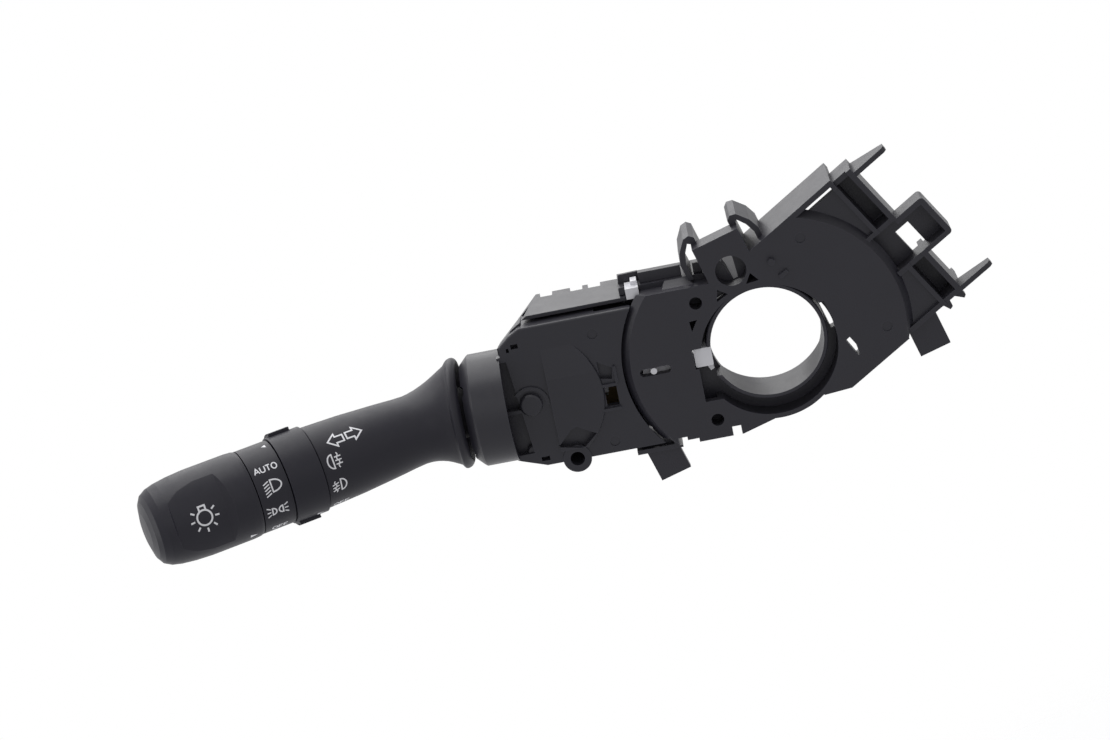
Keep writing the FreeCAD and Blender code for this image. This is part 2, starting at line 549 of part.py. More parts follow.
def switch_case():
    """The module's rear case: tub, posts, the seat under the plate and the tongue that guides the pawl."""
    floor = CASE_BACK + WALL
    skirt_in = COVER_TOP - COVER_SKIRT - GAP
    inner_top = skirt_in - WALL
    inner_in, inner_out, inner_low = CASE_IN + WALL, CASE_OUT - WALL, CASE_LOW + WALL
    hollow = prism([(inner_in, inner_low), (inner_out - 8.0, inner_low), (inner_out, -26.0),
                    (inner_out, 7.4), (inner_out - 8.0, 14.4), (inner_out - 13.0, inner_top),
                    (inner_in, inner_top)], floor, CUT)
    groove = box(CASE_IN - CUT, CASE_OUT - 9.8, skirt_in, CASE_TOP - 1.3, -20.0, CUT)
    lip = box(CASE_IN - CUT, CASE_OUT, CASE_TOP - 1.4, CASE_TOP + CUT, -6.0, CUT)
    seat_top = -PLATE - GAP
    seat = box(CASE_IN, CASE_IN + WALL, CASE_LOW, inner_top, COVER_BACK - CUT, seat_top)
    seat = seat.common(rod(DISC_R, COVER_BACK - CUT, CUT, DISC_A, DISC_B))
    tongue = box(TONGUE_IN, CASE_IN + WALL, TONGUE_LOW, TONGUE_HIGH, TONGUE_BACK, seat_top)
    posts = [rod(CASE_POST_R, floor - 0.5, COVER_BACK, a, b) for a, b in CASE_SCREWS]
    lower_seat = rod(TRUNNION_R + 2.2, floor - 0.5, BRACKET_BACK - GAP / 3, PIVOT_A, PIVOT_B)
    boss_wall = rod(BOSS_R + WALL, floor, COVER_BACK, BOSS_A, BOSS_B)
    boss_wall = boss_wall.common(box(CASE_IN, CASE_OUT, CASE_LOW, CASE_TOP, floor, COVER_BACK))
    tub = case_body().cut([hollow, groove, lip])
    body = join([tub, seat, tongue, connector_shroud(), lower_seat, boss_wall] + posts)
    doorway = outward(SNOUT_R - SNOUT_WALL - 0.5, CASE_OUT - WALL - CUT, CASE_OUT + CUT, SNOUT_B, SNOUT_Z)
    way_low, way_high = PAWL_PIN_B - SHANK_HALF - GAP, PAWL_PIN_B + SHANK_HALF + GAP
    pawl_way = box(TONGUE_IN - CUT, PAWL_SPRING_END, way_low, way_high, PAWL_BACK - GAP, CUT)
    windows = [box(a, a + 4.5, CASE_TOP - 2.4, CASE_TOP + CUT, CASE_BACK - CUT, CASE_BACK + 4.0)
               for a in (CASE_IN + 8.5, CASE_IN + 15.0, CASE_IN + 26.0)]
    cuts = [doorway, pawl_way, rod(TRUNNION_R + RUN, CASE_BACK - CUT, -20.0, PIVOT_A, PIVOT_B),
            rod(BOSS_R + 0.1, CASE_BACK - CUT, CUT, BOSS_A, BOSS_B)] + windows
    cuts += [rod(CASE_SCREW_R, CASE_BACK - CUT, CUT, a, b) for a, b in CASE_SCREWS]
    cuts += [pin_slot(a, b) for a, b in terminal_places()]
    return body.cut(cuts)


def terminal_places():
    mid_a, mid_b = (SHROUD_A0 + SHROUD_A1) / 2, (SHROUD_B0 + SHROUD_B1) / 2
    first = mid_a - PIN_PITCH * (PINS_IN_ROW - 1) / 2
    return [(first + PIN_PITCH * i, mid_b + row) for i in range(PINS_IN_ROW) for row in (-2.0, 2.0)]


def pin_slot(a, b):
    half = PIN_W / 2 + 0.05
    return box(a - half, a + half, b - half, b + half, CASE_BACK - CUT, CASE_BACK + WALL + CUT)


def terminals():
    half = PIN_W / 2
    board = CASE_BACK + WALL + BOARD
    pins = [box(a - half, a + half, b - half, b + half, CASE_BACK - SHROUD_DEPTH + 6.5, board + 1.0)
            for a, b in terminal_places()]
    return Part.makeCompound(pins)


def contact_board():
    floor = CASE_BACK + WALL
    top = floor + BOARD
    half = PIN_W / 2 + 0.02
    holes = [box(a - half, a + half, b - half, b + half, floor - CUT, top + CUT)
             for a, b in terminal_places()]
    return box(55.6, 75.0, -22.8, 12.0, floor, top).cut(holes)


def case_screws():
    screws = []
    for a, b in CASE_SCREWS:
        head = rod(2.5, CASE_BACK - 1.8, CASE_BACK, a, b)
        head = head.cut(rod(1.0, CASE_BACK - 3.0, CASE_BACK - 0.9, a, b))
        screws.append(join([head, rod(CASE_SCREW_R, CASE_BACK - 0.5, COVER_Z - 1.2, a, b)]))
    return Part.makeCompound(screws)


def detent_track():
    """The curved block in the case that the turn plunger rides on, with a seat at rest and at each limit."""
    inner = PIVOT_A - PLUNGER_TIP_A + TRACK_GAP
    low, high = NOSE_Z - 6.0, NOSE_Z + 5.0
    block = pipe(inner + TRACK_THICK, inner, low + 1.0, high - 1.0, PIVOT_A, PIVOT_B)
    start = 180 - TRACK_SPAN / 2
    block = block.common(sector(inner + TRACK_THICK + CUT, start, TRACK_SPAN, low, high, PIVOT_A, PIVOT_B))
    seat = rod(PLUNGER_R + GAP, low, high, PIVOT_A - inner + SEAT_SINK, PIVOT_B)
    seats = [seat.rotated(V(PIVOT_A, PIVOT_B, 0), AXIS_Z, turn) for turn in (-TURN, 0, TURN)]
    outer_a = PIVOT_A - inner - TRACK_THICK
    foot = box(outer_a - 1.6, outer_a + 2.0, PIVOT_B - 5, PIVOT_B + 5, CASE_BACK + WALL + BOARD, NOSE_Z + 3.0)
    tail = rod(inner, NOSE_Z - 14, NOSE_Z + 6, PIVOT_A, PIVOT_B)
    return join([block, foot.cut(tail)]).cut(seats)


def turn_bracket():
    """The yoke that swings in the case and carries the lever on the dimmer pin."""
    low, high = PIVOT_B - BRACKET_HALF, PIVOT_B + BRACKET_HALF
    block = box(BRACKET_IN, BRACKET_OUT, low, high, BRACKET_BACK, BRACKET_FRONT)
    block = rounded(block, 2.0, lambda e: e.BoundBox.ZLength > 10 and e.BoundBox.XMin > BRACKET_OUT - 0.1)
    pocket = box(BRACKET_IN + 1.8, BRACKET_OUT + CUT, PIVOT_B - YOKE_HALF, PIVOT_B + YOKE_HALF,
                 BRACKET_BACK + 1.6, BRACKET_FRONT - 1.8)
    mouth = box(PIVOT_A + 1.5, BRACKET_OUT + CUT, low - CUT, high + CUT, NOSE_Z - 1.0, CUT)
    nose = box(NOSE_IN, BRACKET_IN + 1.0, PIVOT_B - NOSE_HALF, PIVOT_B + NOSE_HALF,
               NOSE_Z - NOSE_HALF, NOSE_Z + NOSE_HALF)
    trunnions = rod(TRUNNION_R, CASE_BACK + 0.4, COVER_Z - 1.0, PIVOT_A, PIVOT_B)
    inside = rod(TRUNNION_R + CUT, BRACKET_BACK + 1.0, BRACKET_FRONT - 1.0, PIVOT_A, PIVOT_B)
    trunnions = trunnions.cut(inside)
    body = join([block.cut([pocket, mouth]), nose, trunnions])
    pin = dimmer_pin_place()
    return body.cut([across(DIMMER_PIN_R, low - CUT, high + CUT, pin.x, pin.z),
                     outward(PLUNGER_R + RUN, NOSE_IN - CUT, BRACKET_IN - 1.0, PIVOT_B, NOSE_Z)])


def dimmer_pin():
    pin = dimmer_pin_place()
    return across(DIMMER_PIN_R, PIVOT_B - BRACKET_HALF, PIVOT_B + BRACKET_HALF, pin.x, pin.z)


def plunger(r, tip_a, length, b, z):
    """A detent plunger: a rod along the arm with a round tip toward the bore."""
    body = outward(r, tip_a + r, tip_a + length, b, z)
    return join([body, Part.makeSphere(r, V(tip_a + r, b, z))])


def turn_plunger():
    return plunger(PLUNGER_R, PLUNGER_TIP_A, 7.0, PIVOT_B, NOSE_Z)


def spring_along_arm(r, wire_r, turns, a0, a1, b, z):
    spring = coil(r, wire_r, turns, a1 - a0 - 2 * wire_r)
    spring.rotate(ORIGIN, AXIS_Y, 90)
    return spring.translated(V(a0 + wire_r, b, z))


def turn_spring():
    start = PLUNGER_TIP_A + 7.0
    return spring_along_arm(1.6, 0.3, 4, start, BRACKET_IN - 1.0, PIVOT_B, NOSE_Z)


def contact_carrier():
    """Rides under the bracket's nose and wipes the board."""
    floor = CASE_BACK + WALL + BOARD
    return box(NOSE_IN + 1.0, BRACKET_IN - 1.5, PIVOT_B - 3.5, PIVOT_B + 3.5, floor + 1.3, NOSE_Z - 4.2)


def contact_blades():
    floor = CASE_BACK + WALL + BOARD
    blades = [box(NOSE_IN + 2.0, BRACKET_IN - 3.0, PIVOT_B + b, PIVOT_B + b + 1.2, floor + GAP, floor + 1.3)
              for b in (-2.8, -0.6, 1.6)]
    return Part.makeCompound(blades)


def retainer_block():
    """The white block that holds the module at the top of the left arm."""
    return box(RETAINER_IN, CASE_IN - GAP, LEFT_TOP - 1.6, LEFT_TOP + 2.3, RETAINER_BACK, -4.4)


def retainer_key():
    """The small white key that stands on the block."""
    return box(RETAINER_IN + 0.2, RETAINER_IN + 2.4, LEFT_TOP + 2.3, LEFT_TOP + 3.9, RETAINER_BACK, -7.4)


def cancel_pawl():
    """The white pawl that the column's cam catches, with its shank and the pin in the slot."""
    head = box(PAWL_IN, PAWL_OUT, PAWL_LOW, PAWL_HIGH, PAWL_BACK, -1.0)
    head = rounded(head, 0.6, lambda e: e.BoundBox.ZLength > 5)
    tongue = prism([(23.6, PAWL_LOW + 1), (20.6, PAWL_LOW + 1), (19.9, -8.0), (21.2, -8.6)], PAWL_BACK, -5.2)
    shank_low, shank_high = PAWL_PIN_B - SHANK_HALF, PAWL_PIN_B + SHANK_HALF
    shank = box(PAWL_OUT - 1.0, PAWL_PIN_A + 1.8, shank_low, shank_high, PAWL_BACK, SHANK_TOP)
    pin = rod(PAWL_PIN_R, -6.0, -0.3, PAWL_PIN_A, PAWL_PIN_B)
    return join([head, tongue, shank, pin])


def cancel_spring():
    """Pushes the pawl toward the bore."""
    start, z = PAWL_PIN_A + 1.8, (PAWL_BACK + SHANK_TOP) / 2
    return spring_along_arm(1.4, 0.3, 3, start, PAWL_SPRING_END, PAWL_PIN_B, z)


# Stalk
def trumpet():
    """From the flange, square to the arm, to the neck, square to the stalk."""
    profile = [(1.0, 18.4), (3.0, 17.9), (5.5, 16.9), (8.0, 15.4), (11.0, 14.0), (14.5, 13.0),
               (TRUMPET_END, NECK_R)]
    front, side, along = stalk_axes()
    arm_way = V(AXIS_X.dot(front), AXIS_X.dot(side), AXIS_X.dot(along))
    wires = []
    for t, r in profile:
        blend = min(1.0, (t - 1.0) / (TRUMPET_END - 4.0))
        normal = (arm_way * (1 - blend) + AXIS_Z * blend).normalize()
        wires.append(Part.Wire(Part.makeCircle(r, V(0, 0, t), normal)))
    return Part.makeLoft(wires, True, False)


def flange():
    front, side, along = stalk_axes()
    arm_way = V(AXIS_X.dot(front), AXIS_X.dot(side), AXIS_X.dot(along))
    disc = Part.makeCylinder(FLANGE_R, FLANGE_THICK, arm_way * FLANGE_FACE, arm_way)
    return rounded(disc, 0.8, lambda e: True)


def flange_hollow():
    """The shallow hollow in the flange's face that clears the snout's lip when the stalk swings."""
    front, side, along = stalk_axes()
    arm_way = V(AXIS_X.dot(front), AXIS_X.dot(side), AXIS_X.dot(along))
    depth = FLANGE_HOLLOW + CUT
    return Part.makeCylinder(FLANGE_HOLLOW_R, depth, arm_way * (FLANGE_FACE - CUT), arm_way)


def stalk_shell():
    body = lathe([(0, TRUMPET_END), (NECK_R, TRUMPET_END), (NECK_R + 0.25, 22.0), (13.7, 31.0), (14.5, 43.0),
                  (SHELL_END_R, RING_START - SEAM / 2), (0, RING_START - SEAM / 2)])
    bore = rod(SHELL_BORE_R, -FLANGE_R, RING_START + CUT)
    return join([flange(), trumpet(), body]).cut([bore, flange_hollow()])


def lever_core():
    """Hub on the dimmer pin, tail with the dimmer plunger, and the tube that carries the stalk."""
    pin = dimmer_pin_place()
    hub = across(HUB_R, PIVOT_B - YOKE_HALF + GAP, PIVOT_B + YOKE_HALF - GAP, pin.x, pin.z)
    tail = outward(DIMMER_PLUNGER_R + 1.6, TAIL_TIP_A + 1.8, pin.x, pin.y, pin.z)
    step, end = RING_START - SEAM / 2, KNOB_START + 1.6
    tube = lathe([(0, -26.0), (5.6, -26.0), (5.6, -5.0), (SHELL_BORE_R, -2.0), (SHELL_BORE_R, step),
                  (CORE_R, step), (CORE_R, end), (0, end)])
    bore = join([rod(CORE_BORE_R, 0.0, FOG_TUBE_END + GAP), rod(SHAFT_R + RUN, -14.0, KNOB_START + 3)])
    room = 14.0
    slot = sector(CORE_R + CUT, KEY_ANGLE - RING_TURN - room, RING_TURN + 2 * room,
                  KEY_START - GAP, KEY_END + GAP)
    slot = slot.cut(rod(SHAFT_R + 1.0, KEY_START - CUT, KEY_END + CUT))
    tube = tube.cut([bore, slot])
    body = join([hub, tail, stalk_to_arm(tube)])
    return body.cut([across(DIMMER_PIN_R + RUN, -30, 20, pin.x, pin.z),
                     outward(DIMMER_PLUNGER_R + RUN, TAIL_TIP_A, pin.x - DIMMER_PIN_R - 1.0, pin.y, pin.z)])


def dimmer_plunger():
    pin = dimmer_pin_place()
    return plunger(DIMMER_PLUNGER_R, TAIL_TIP_A - 0.3, 2.6, pin.y, pin.z)


def dimmer_spring():
    pin = dimmer_pin_place()
    return spring_along_arm(0.9, 0.18, 2, TAIL_TIP_A + 2.5, pin.x - DIMMER_PIN_R - 1.0, pin.y, pin.z)


def marked_band():
    start, end = BAND_START + SEAM / 2, KNOB_START - SEAM / 2
    return join([pipe(BAND_R, BAND_R - 2.2, start, end), pipe(BAND_R - 1.0, CORE_R, start + 3.0, start + 5.0),
                 pipe(CORE_R + 1.6, CORE_R, start, end)])


def ring_key():
    key = box(CORE_BORE_R - 0.8, KEY_REACH, -KEY_W / 2, KEY_W / 2, KEY_START, KEY_END)
    return key.rotated(ORIGIN, AXIS_Z, KEY_ANGLE)


def grip_pad():
    """The raised ribbed grip on the ring."""
    start, end = RING_START + 3.4, BAND_START - 1.4
    pad = pipe(PAD_R, RING_R - 0.5, start, end).common(sector(PAD_R + CUT, 0, 48, start, end))
    grooves = []
    for i in range(PAD_RIBS - 1):
        groove = box(PAD_R - 0.6, PAD_R + CUT, -0.45, 0.45, start - CUT, end + CUT)
        grooves.append(groove.rotated(ORIGIN, AXIS_Z, 48.0 * (i + 1) / PAD_RIBS))
    return pad.cut(grooves).rotated(ORIGIN, AXIS_Z, -24)


def fog_ring():
    start, end = RING_START + SEAM / 2, BAND_START - SEAM / 2
    rim = pipe(RING_R, RING_R - 2.4, start, end)
    web = pipe(RING_R - 1.0, CORE_R + RUN, KEY_START - 1.0, KEY_END + 1.0)
    sleeve = pipe(CORE_R + 1.4, CORE_R + RUN, start + 0.5, end - 0.5)
    pads = [grip_pad().rotated(ORIGIN, AXIS_Z, turn) for turn in PAD_TURNS]
    body = join([rim, web, sleeve] + pads)
    notch = box(CORE_R - CUT, KEY_REACH + 0.1, -KEY_W / 2 - 0.05, KEY_W / 2 + 0.05, KEY_START, KEY_END)
    return body.cut(notch.rotated(ORIGIN, AXIS_Z, KEY_ANGLE))


def fog_tube():
    return join([pipe(CORE_BORE_R - RUN, SHAFT_R + 0.4, FOG_TUBE_START, FOG_TUBE_END), ring_key()])


def rotor(r_out, r_in, start, arms):
    """A contact rotor: a thin disc with round lugs."""
    disc = rod(r_out - 1.2, start, start + 1.6)
    lugs = [rod(1.1, start, start + 1.6, (r_out - 1.3) * math.cos(math.radians(360 * i / arms)),
                (r_out - 1.3) * math.sin(math.radians(360 * i / arms))) for i in range(arms)]
    return join([disc] + lugs).cut(rod(r_in, start - CUT, start + 3))


def light_knob():
    tip = KNOB_TIP
    start = KNOB_START + SEAM / 2
    profile = [(0, start), (15.2, start), (15.5, start + 1.0), (KNOB_R, start + 3.5), (KNOB_R, 101.0),
               (15.35, 107.0), (14.7, 112.0), (13.9, 115.2), (12.5, 117.6), (10.4, 118.9),
               (6.5, 119.8), (0, tip)]
    knob = lathe(profile)
    hollow = lathe([(0, start - CUT), (KNOB_R - KNOB_WALL, start - CUT), (KNOB_R - KNOB_WALL, 101.0),
                    (12.6, 112.0), (9.0, 116.0), (0, 117.2)])
    hub = pipe(SHAFT_R + 2.2, SHAFT_R, KNOB_START + 2.2, KNOB_TIP - 2.5)
    spoke = box(SHAFT_R + 1, 14.0, -0.7, 0.7, 96.0, 112.0).common(rod(14.2, 90, 113))
    knob = join([knob.cut(hollow), hub] + [spoke.rotated(ORIGIN, AXIS_Z, 90 * i) for i in range(4)])
    offset = FACET_R - FACET_DEPTH
    core = lathe([(0, 80), (40, 80), (40, 90.2), (FACET_R + 2.0, 90.2), (FACET_R, 93.4), (FACET_R, 111.8),
                  (FACET_R + 1.6, 113.6), (40, 113.6), (40, 130), (0, 130)]).translated(V(-offset, 0, 0))
    tool = box(0, 30, -30, 30, 85, 125).cut(core).rotated(ORIGIN, AXIS_Z, FACET_TURN)
    return knob.cut(tool)


def light_shaft():
    return rod(SHAFT_R, -13.0, 112.0)


def light_rotor():
    return rotor(CORE_BORE_R - 0.3, SHAFT_R, 3.0, 3)


def fog_rotor():
    return rotor(CORE_BORE_R - 0.3, SHAFT_R + 0.4, FOG_TUBE_START - 1.6, 4)


def save(name, shape):
    upright = shape.rotated(ORIGIN, AXIS_X, 90)
    upright.exportStep("parts/%s.step" % name)
    solids = len(upright.Solids)
    print(name, "solids", solids, "valid", upright.isValid(), "volume", round(upright.Volume, 1))


def main():
    os.makedirs("parts", exist_ok=True)
    save("column_carrier", column_carrier())
    for piece in (switch_cover, switch_case, contact_board, terminals, case_screws, detent_track,
                  turn_bracket, dimmer_pin, turn_plunger, turn_spring, contact_carrier, contact_blades,
                  retainer_block, retainer_key, cancel_pawl, cancel_spring, lever_core, dimmer_plunger,
                  dimmer_spring):
        save(piece.__name__, on_left(piece()))
    for piece in (stalk_shell, marked_band, fog_ring, fog_tube, fog_rotor, light_knob, light_shaft,
                  light_rotor):
        save(piece.__name__, on_stalk(piece()))


main()
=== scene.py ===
# %% [markdown]
# # A combination stalk switch, dressed
# This is the lever switch behind a car's steering wheel: a black moulded carrier with a bore for the steering
# column, a lamp and turn-signal module in its left arm, and an empty slot for the wiper switch in its right arm.
# The CAD solids arrive as a fixed frame. This script adds the finishes with their grain, the shell's rounded rim,
# a few small walls and fillings, the printed marks, the light and the camera.

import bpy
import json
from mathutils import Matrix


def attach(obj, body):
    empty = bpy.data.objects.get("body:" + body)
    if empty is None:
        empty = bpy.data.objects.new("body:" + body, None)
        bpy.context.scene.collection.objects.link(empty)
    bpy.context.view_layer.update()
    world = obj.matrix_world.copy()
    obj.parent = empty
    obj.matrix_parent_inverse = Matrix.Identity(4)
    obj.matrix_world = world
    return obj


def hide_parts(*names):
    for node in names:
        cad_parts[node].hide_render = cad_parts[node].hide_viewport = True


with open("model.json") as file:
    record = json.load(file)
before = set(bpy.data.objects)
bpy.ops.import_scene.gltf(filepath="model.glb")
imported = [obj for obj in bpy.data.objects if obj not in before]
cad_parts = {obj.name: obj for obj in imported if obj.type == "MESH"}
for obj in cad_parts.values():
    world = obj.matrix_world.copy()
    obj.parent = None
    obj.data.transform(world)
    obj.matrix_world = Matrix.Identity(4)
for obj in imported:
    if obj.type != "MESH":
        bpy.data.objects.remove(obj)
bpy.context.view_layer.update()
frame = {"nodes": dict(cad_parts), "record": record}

# %% [markdown]
# ## Places on the object
# Every place is worked out from the few sizes that the maker would give. An arm has its own coordinates: a
# outward from the bore, b square to it and up, z toward the driver, in millimetres. The stalk is a bent axis of
# its own, so a point on it is told by how far along it lies, its angle round it and its radius.

# %% Arm and stalk coordinates
import json
import math

import bmesh
import bpy
import numpy as np
from mathutils import Matrix, Vector

MM = 0.001
ARM_TILT = math.radians(16.0)
STALK_LIFT, STALK_DROP = math.radians(22.8), math.radians(-2.2)
FLANGE_AT = (112.0, -7.5, -7.5)
TO_DRIVER = np.array([0.0, -1.0, 0.0])


def left_arm(a, b, z):
    """A point of the left arm: a along it, b square to it, both in the plane of the face, and z off the face."""
    x = -a * math.cos(ARM_TILT) + b * math.sin(ARM_TILT)
    y = a * math.sin(ARM_TILT) + b * math.cos(ARM_TILT)
    return np.array([x, -z, y])


def unit(v):
    return v / np.linalg.norm(v)


FLANGE = left_arm(*FLANGE_AT)
ALONG = unit(left_arm(math.cos(STALK_LIFT) * math.cos(STALK_DROP), math.cos(STALK_LIFT) * math.sin(STALK_DROP),
                      math.sin(STALK_LIFT)))
FRONT = unit(TO_DRIVER - ALONG * TO_DRIVER.dot(ALONG))
SIDE = np.cross(ALONG, FRONT)
print("stalk axis", ALONG.round(4), "front", FRONT.round(4), "side", SIDE.round(4))


def on_stalk(along, angle, radius):
    """Points on the stalk: the flange's centre, plus the distance along the axis, plus the radius turned by the
    angle from the driver's side toward the top. The three are arrays of one shape."""
    outward = np.cos(angle)[..., None] * FRONT + np.sin(angle)[..., None] * SIDE
    return (FLANGE + along[..., None] * ALONG + radius[..., None] * outward) * MM


# %% [markdown]
# ## Camera
# The photograph is a long-lens view from a little above the driver's side, rolled so that the stalk runs down to
# the left. A pinhole camera was fitted to the bore's rim and to the edges of both arms, and gave this place and
# these axes.

# %% Camera at the photograph's place
CAMERA_AT = Vector((0.07664, -0.95924, 0.34104))
CAMERA_RIGHT = Vector((0.8892, -0.0138, -0.4573))
CAMERA_BACK = Vector((0.1447, -0.9397, 0.3097))
LENS_MM, SENSOR_MM = 94.0, 36.0


def make_camera():
    data = bpy.data.cameras.new("camera")
    data.lens, data.sensor_width = LENS_MM, SENSOR_MM
    camera = bpy.data.objects.new("camera", data)
    back = CAMERA_BACK.normalized()
    right = (CAMERA_RIGHT - back * CAMERA_RIGHT.dot(back)).normalized()
    camera.matrix_world = Matrix.LocRotScale(CAMERA_AT, Matrix((right, back.cross(right), back)).transposed(), None)
    bpy.context.scene.collection.objects.link(camera)
    return camera


bpy.context.scene.camera = make_camera()
bpy.context.scene.view_settings.view_transform = "Standard"
print("camera", tuple(round(c, 3) for c in CAMERA_AT))

# %% [markdown]
# ## Surfaces
# Each new piece is a grid of points from a formula, or a short list of corners. Two functions turn such points into
# an object whose faces look outward.

# %% From points to objects
WELD = 1e-8


def grid_faces(rows, columns, wrap_rows=False, wrap_columns=False):
    """Quads of a grid of points, numbered row by row. A wrapped side joins its last line to its first."""
    r = np.arange(rows if wrap_rows else rows - 1)[:, None]
    c = np.arange(columns if wrap_columns else columns - 1)[None, :]
    r1, c1 = (r + 1) % rows, (c + 1) % columns
    corners = [r * columns + c, r * columns + c1, r1 * columns + c1, r1 * columns + c]
    return np.stack([corner.ravel() for corner in np.broadcast_arrays(*corners)], axis=1)


def mesh_object(name, points, faces):
    """An object at the origin from an array of points in metres and a list of faces, with its faces outward."""
    mesh = bpy.data.meshes.new(name)
    mesh.from_pydata(np.asarray(points).reshape(-1, 3).tolist(), [], [list(map(int, face)) for face in faces])
    edit = bmesh.new()
    edit.from_mesh(mesh)
    bmesh.ops.remove_doubles(edit, verts=edit.verts, dist=WELD)
    bmesh.ops.recalc_face_normals(edit, faces=edit.faces)
    edit.to_mesh(mesh)
    edit.free()
    piece = bpy.data.objects.new(name, mesh)
    bpy.context.scene.collection.objects.link(piece)
    return piece


print("points within", WELD, "m of each other are welded")

# %% [markdown]
# ## Shader nodes
# The world, the floor and every finish are node trees. One call writes a node: its kind, a table of what goes into
# it, and its settings. What goes in is a number, a colour or the output of another node.

# %% Nodes written as tables
def feed(tree, node, inputs):
    """Sets each input to its value, or links it where the value is another node's output."""
    for name, value in inputs.items():
        if isinstance(value, bpy.types.NodeSocket):
            tree.links.new(value, node.inputs[name])
        else:
            node.inputs[name].default_value = value


def add(tree, kind, inputs=None, **settings):
    node = tree.nodes.new(kind)
    for name, value in settings.items():
        setattr(node, name, value)
    feed(tree, node, inputs or {})
    return node


def calculated(tree, operation, *values, **settings):
    inputs = dict(enumerate(values))
    return add(tree, "ShaderNodeMath", inputs, operation=operation, **settings).outputs[0]


def remapped(tree, value, given=(0.0, 1.0), wanted=(0.0, 1.0), **settings):
    """A value carried over from the given range to the wanted one, and held at its ends."""
    inputs = {"Value": value, "From Min": given[0], "From Max": given[1], "To Min": wanted[0], "To Max": wanted[1]}
    return add(tree, "ShaderNodeMapRange", inputs, **settings).outputs[0]


def mixed(tree, share, first, second):
    """The colour that lies a share of the way from the first to the second."""
    inputs = {"Factor": share, "A": first, "B": second}
    return add(tree, "ShaderNodeMix", inputs, data_type="RGBA").outputs["Result"]


def object_place(tree):
    return tree.nodes.new("ShaderNodeTexCoord").outputs["Object"]


def noise(tree, place, scale, detail):
    inputs = {"Vector": place, "Scale": scale, "Detail": detail}
    return add(tree, "ShaderNodeTexNoise", inputs).outputs[0]


def new_material(name):
    material = bpy.data.materials.new(name)
    material.use_nodes = True
    return material, material.node_tree, material.node_tree.nodes["Principled BSDF"]


def number_group(name, inputs, outputs):
    """An empty node group that takes and gives plain numbers, with the nodes at its two ends."""
    tree = bpy.data.node_groups.new(name, "ShaderNodeTree")
    for label, value in inputs.items():
        tree.interface.new_socket(name=label, in_out="INPUT", socket_type="NodeSocketFloat").default_value = value
    for label in outputs:
        tree.interface.new_socket(name=label, in_out="OUTPUT", socket_type="NodeSocketFloat")
    print("node group", name, "takes", list(inputs), "and gives", outputs)
    return tree, tree.nodes.new("NodeGroupInput").outputs, tree.nodes.new("NodeGroupOutput")


print("materials on the packed solids", len(bpy.data.materials))

# %% [markdown]
# ## Studio
# The object floats in white, as in the photograph. The world is white for camera, glossy and transmitted rays and
# dimmer for the light that falls on surfaces, so the black plastic stays black. A pale floor far below takes the
# shadow, and fades out toward its edge so that no horizon shows.

# %% World and floor
WHITE = (1.0, 1.0, 1.0, 1.0)
WORLD_LIGHT = 0.42
FLOOR_Z, FLOOR_R, FLOOR_FADE, FLOOR_MARGIN = -0.42, 0.50, 0.18, 0.005
FLOOR_RINGS, FLOOR_SPOKES = 12, 72
FLOOR_COLOUR, FLOOR_ROUGHNESS, FLOOR_SHINE = (0.93, 0.93, 0.94, 1.0), 0.9, 0.1


def white_world():
    """White for the rays that are seen or mirrored, and the dimmer light for all others."""
    world = bpy.data.worlds.new("studio")
    world.use_nodes = True
    tree = world.node_tree
    tree.nodes.clear()
    ray = tree.nodes.new("ShaderNodeLightPath").outputs
    seen = calculated(tree, "MAXIMUM", ray["Is Camera Ray"], ray["Is Glossy Ray"])
    either = calculated(tree, "MAXIMUM", seen, ray["Is Transmission Ray"])
    strength = remapped(tree, either, wanted=(WORLD_LIGHT, 1.0))
    background = add(tree, "ShaderNodeBackground", {"Color": WHITE, "Strength": strength})
    add(tree, "ShaderNodeOutputWorld", {"Surface": background.outputs[0]})
    bpy.context.scene.world = world


def floor_finish():
    """A matt white that fades out toward the rim, by the distance from the scene's middle."""
    material, tree, shader = new_material("pale_floor")
    reach = add(tree, "ShaderNodeVectorMath", {0: object_place(tree)}, operation="LENGTH").outputs["Value"]
    fade = math.hypot(FLOOR_R - FLOOR_FADE, FLOOR_Z), math.hypot(FLOOR_R, FLOOR_Z) - FLOOR_MARGIN
    alpha = remapped(tree, reach, fade, (1.0, 0.0), interpolation_type="SMOOTHSTEP")
    feed(tree, shader, {"Base Color": FLOOR_COLOUR, "Roughness": FLOOR_ROUGHNESS,
                        "Specular IOR Level": FLOOR_SHINE, "Alpha": alpha})
    return material


def floor_disc():
    """A flat disc: radius times cosine and sine of the angle, at one height."""
    radius, angle = np.meshgrid(np.linspace(0, FLOOR_R, FLOOR_RINGS),
                                np.linspace(0, 2 * math.pi, FLOOR_SPOKES, endpoint=False))
    points = np.stack([radius * np.cos(angle), radius * np.sin(angle), np.full_like(radius, FLOOR_Z)], axis=-1)
    floor = mesh_object("floor", points, grid_faces(*radius.shape, wrap_rows=True))
    floor.data.materials.append(floor_finish())


white_world()
floor_disc()
print("floor at", FLOOR_Z, "m")

# %% [markdown]
# ## Lamps
# One wide lamp over the object and one behind it light the tops of the walls, which is what draws the shapes in
# the photograph. A weaker one from the left lights the round end of the knob, and a last one fills the front.

# %% Soft lamps
LAMPS = [("over", (-0.05, 0.20, 0.95), 0.9, 7.5),
         ("behind", (0.0, 1.05, 0.75), 1.0, 6.0),
         ("left", (-0.95, -0.15, 0.25), 0.6, 2.0),
         ("front", (0.25, -1.2, 0.55), 0.9, 1.5)]
AIM = Vector((-0.03, 0.0, 0.0))


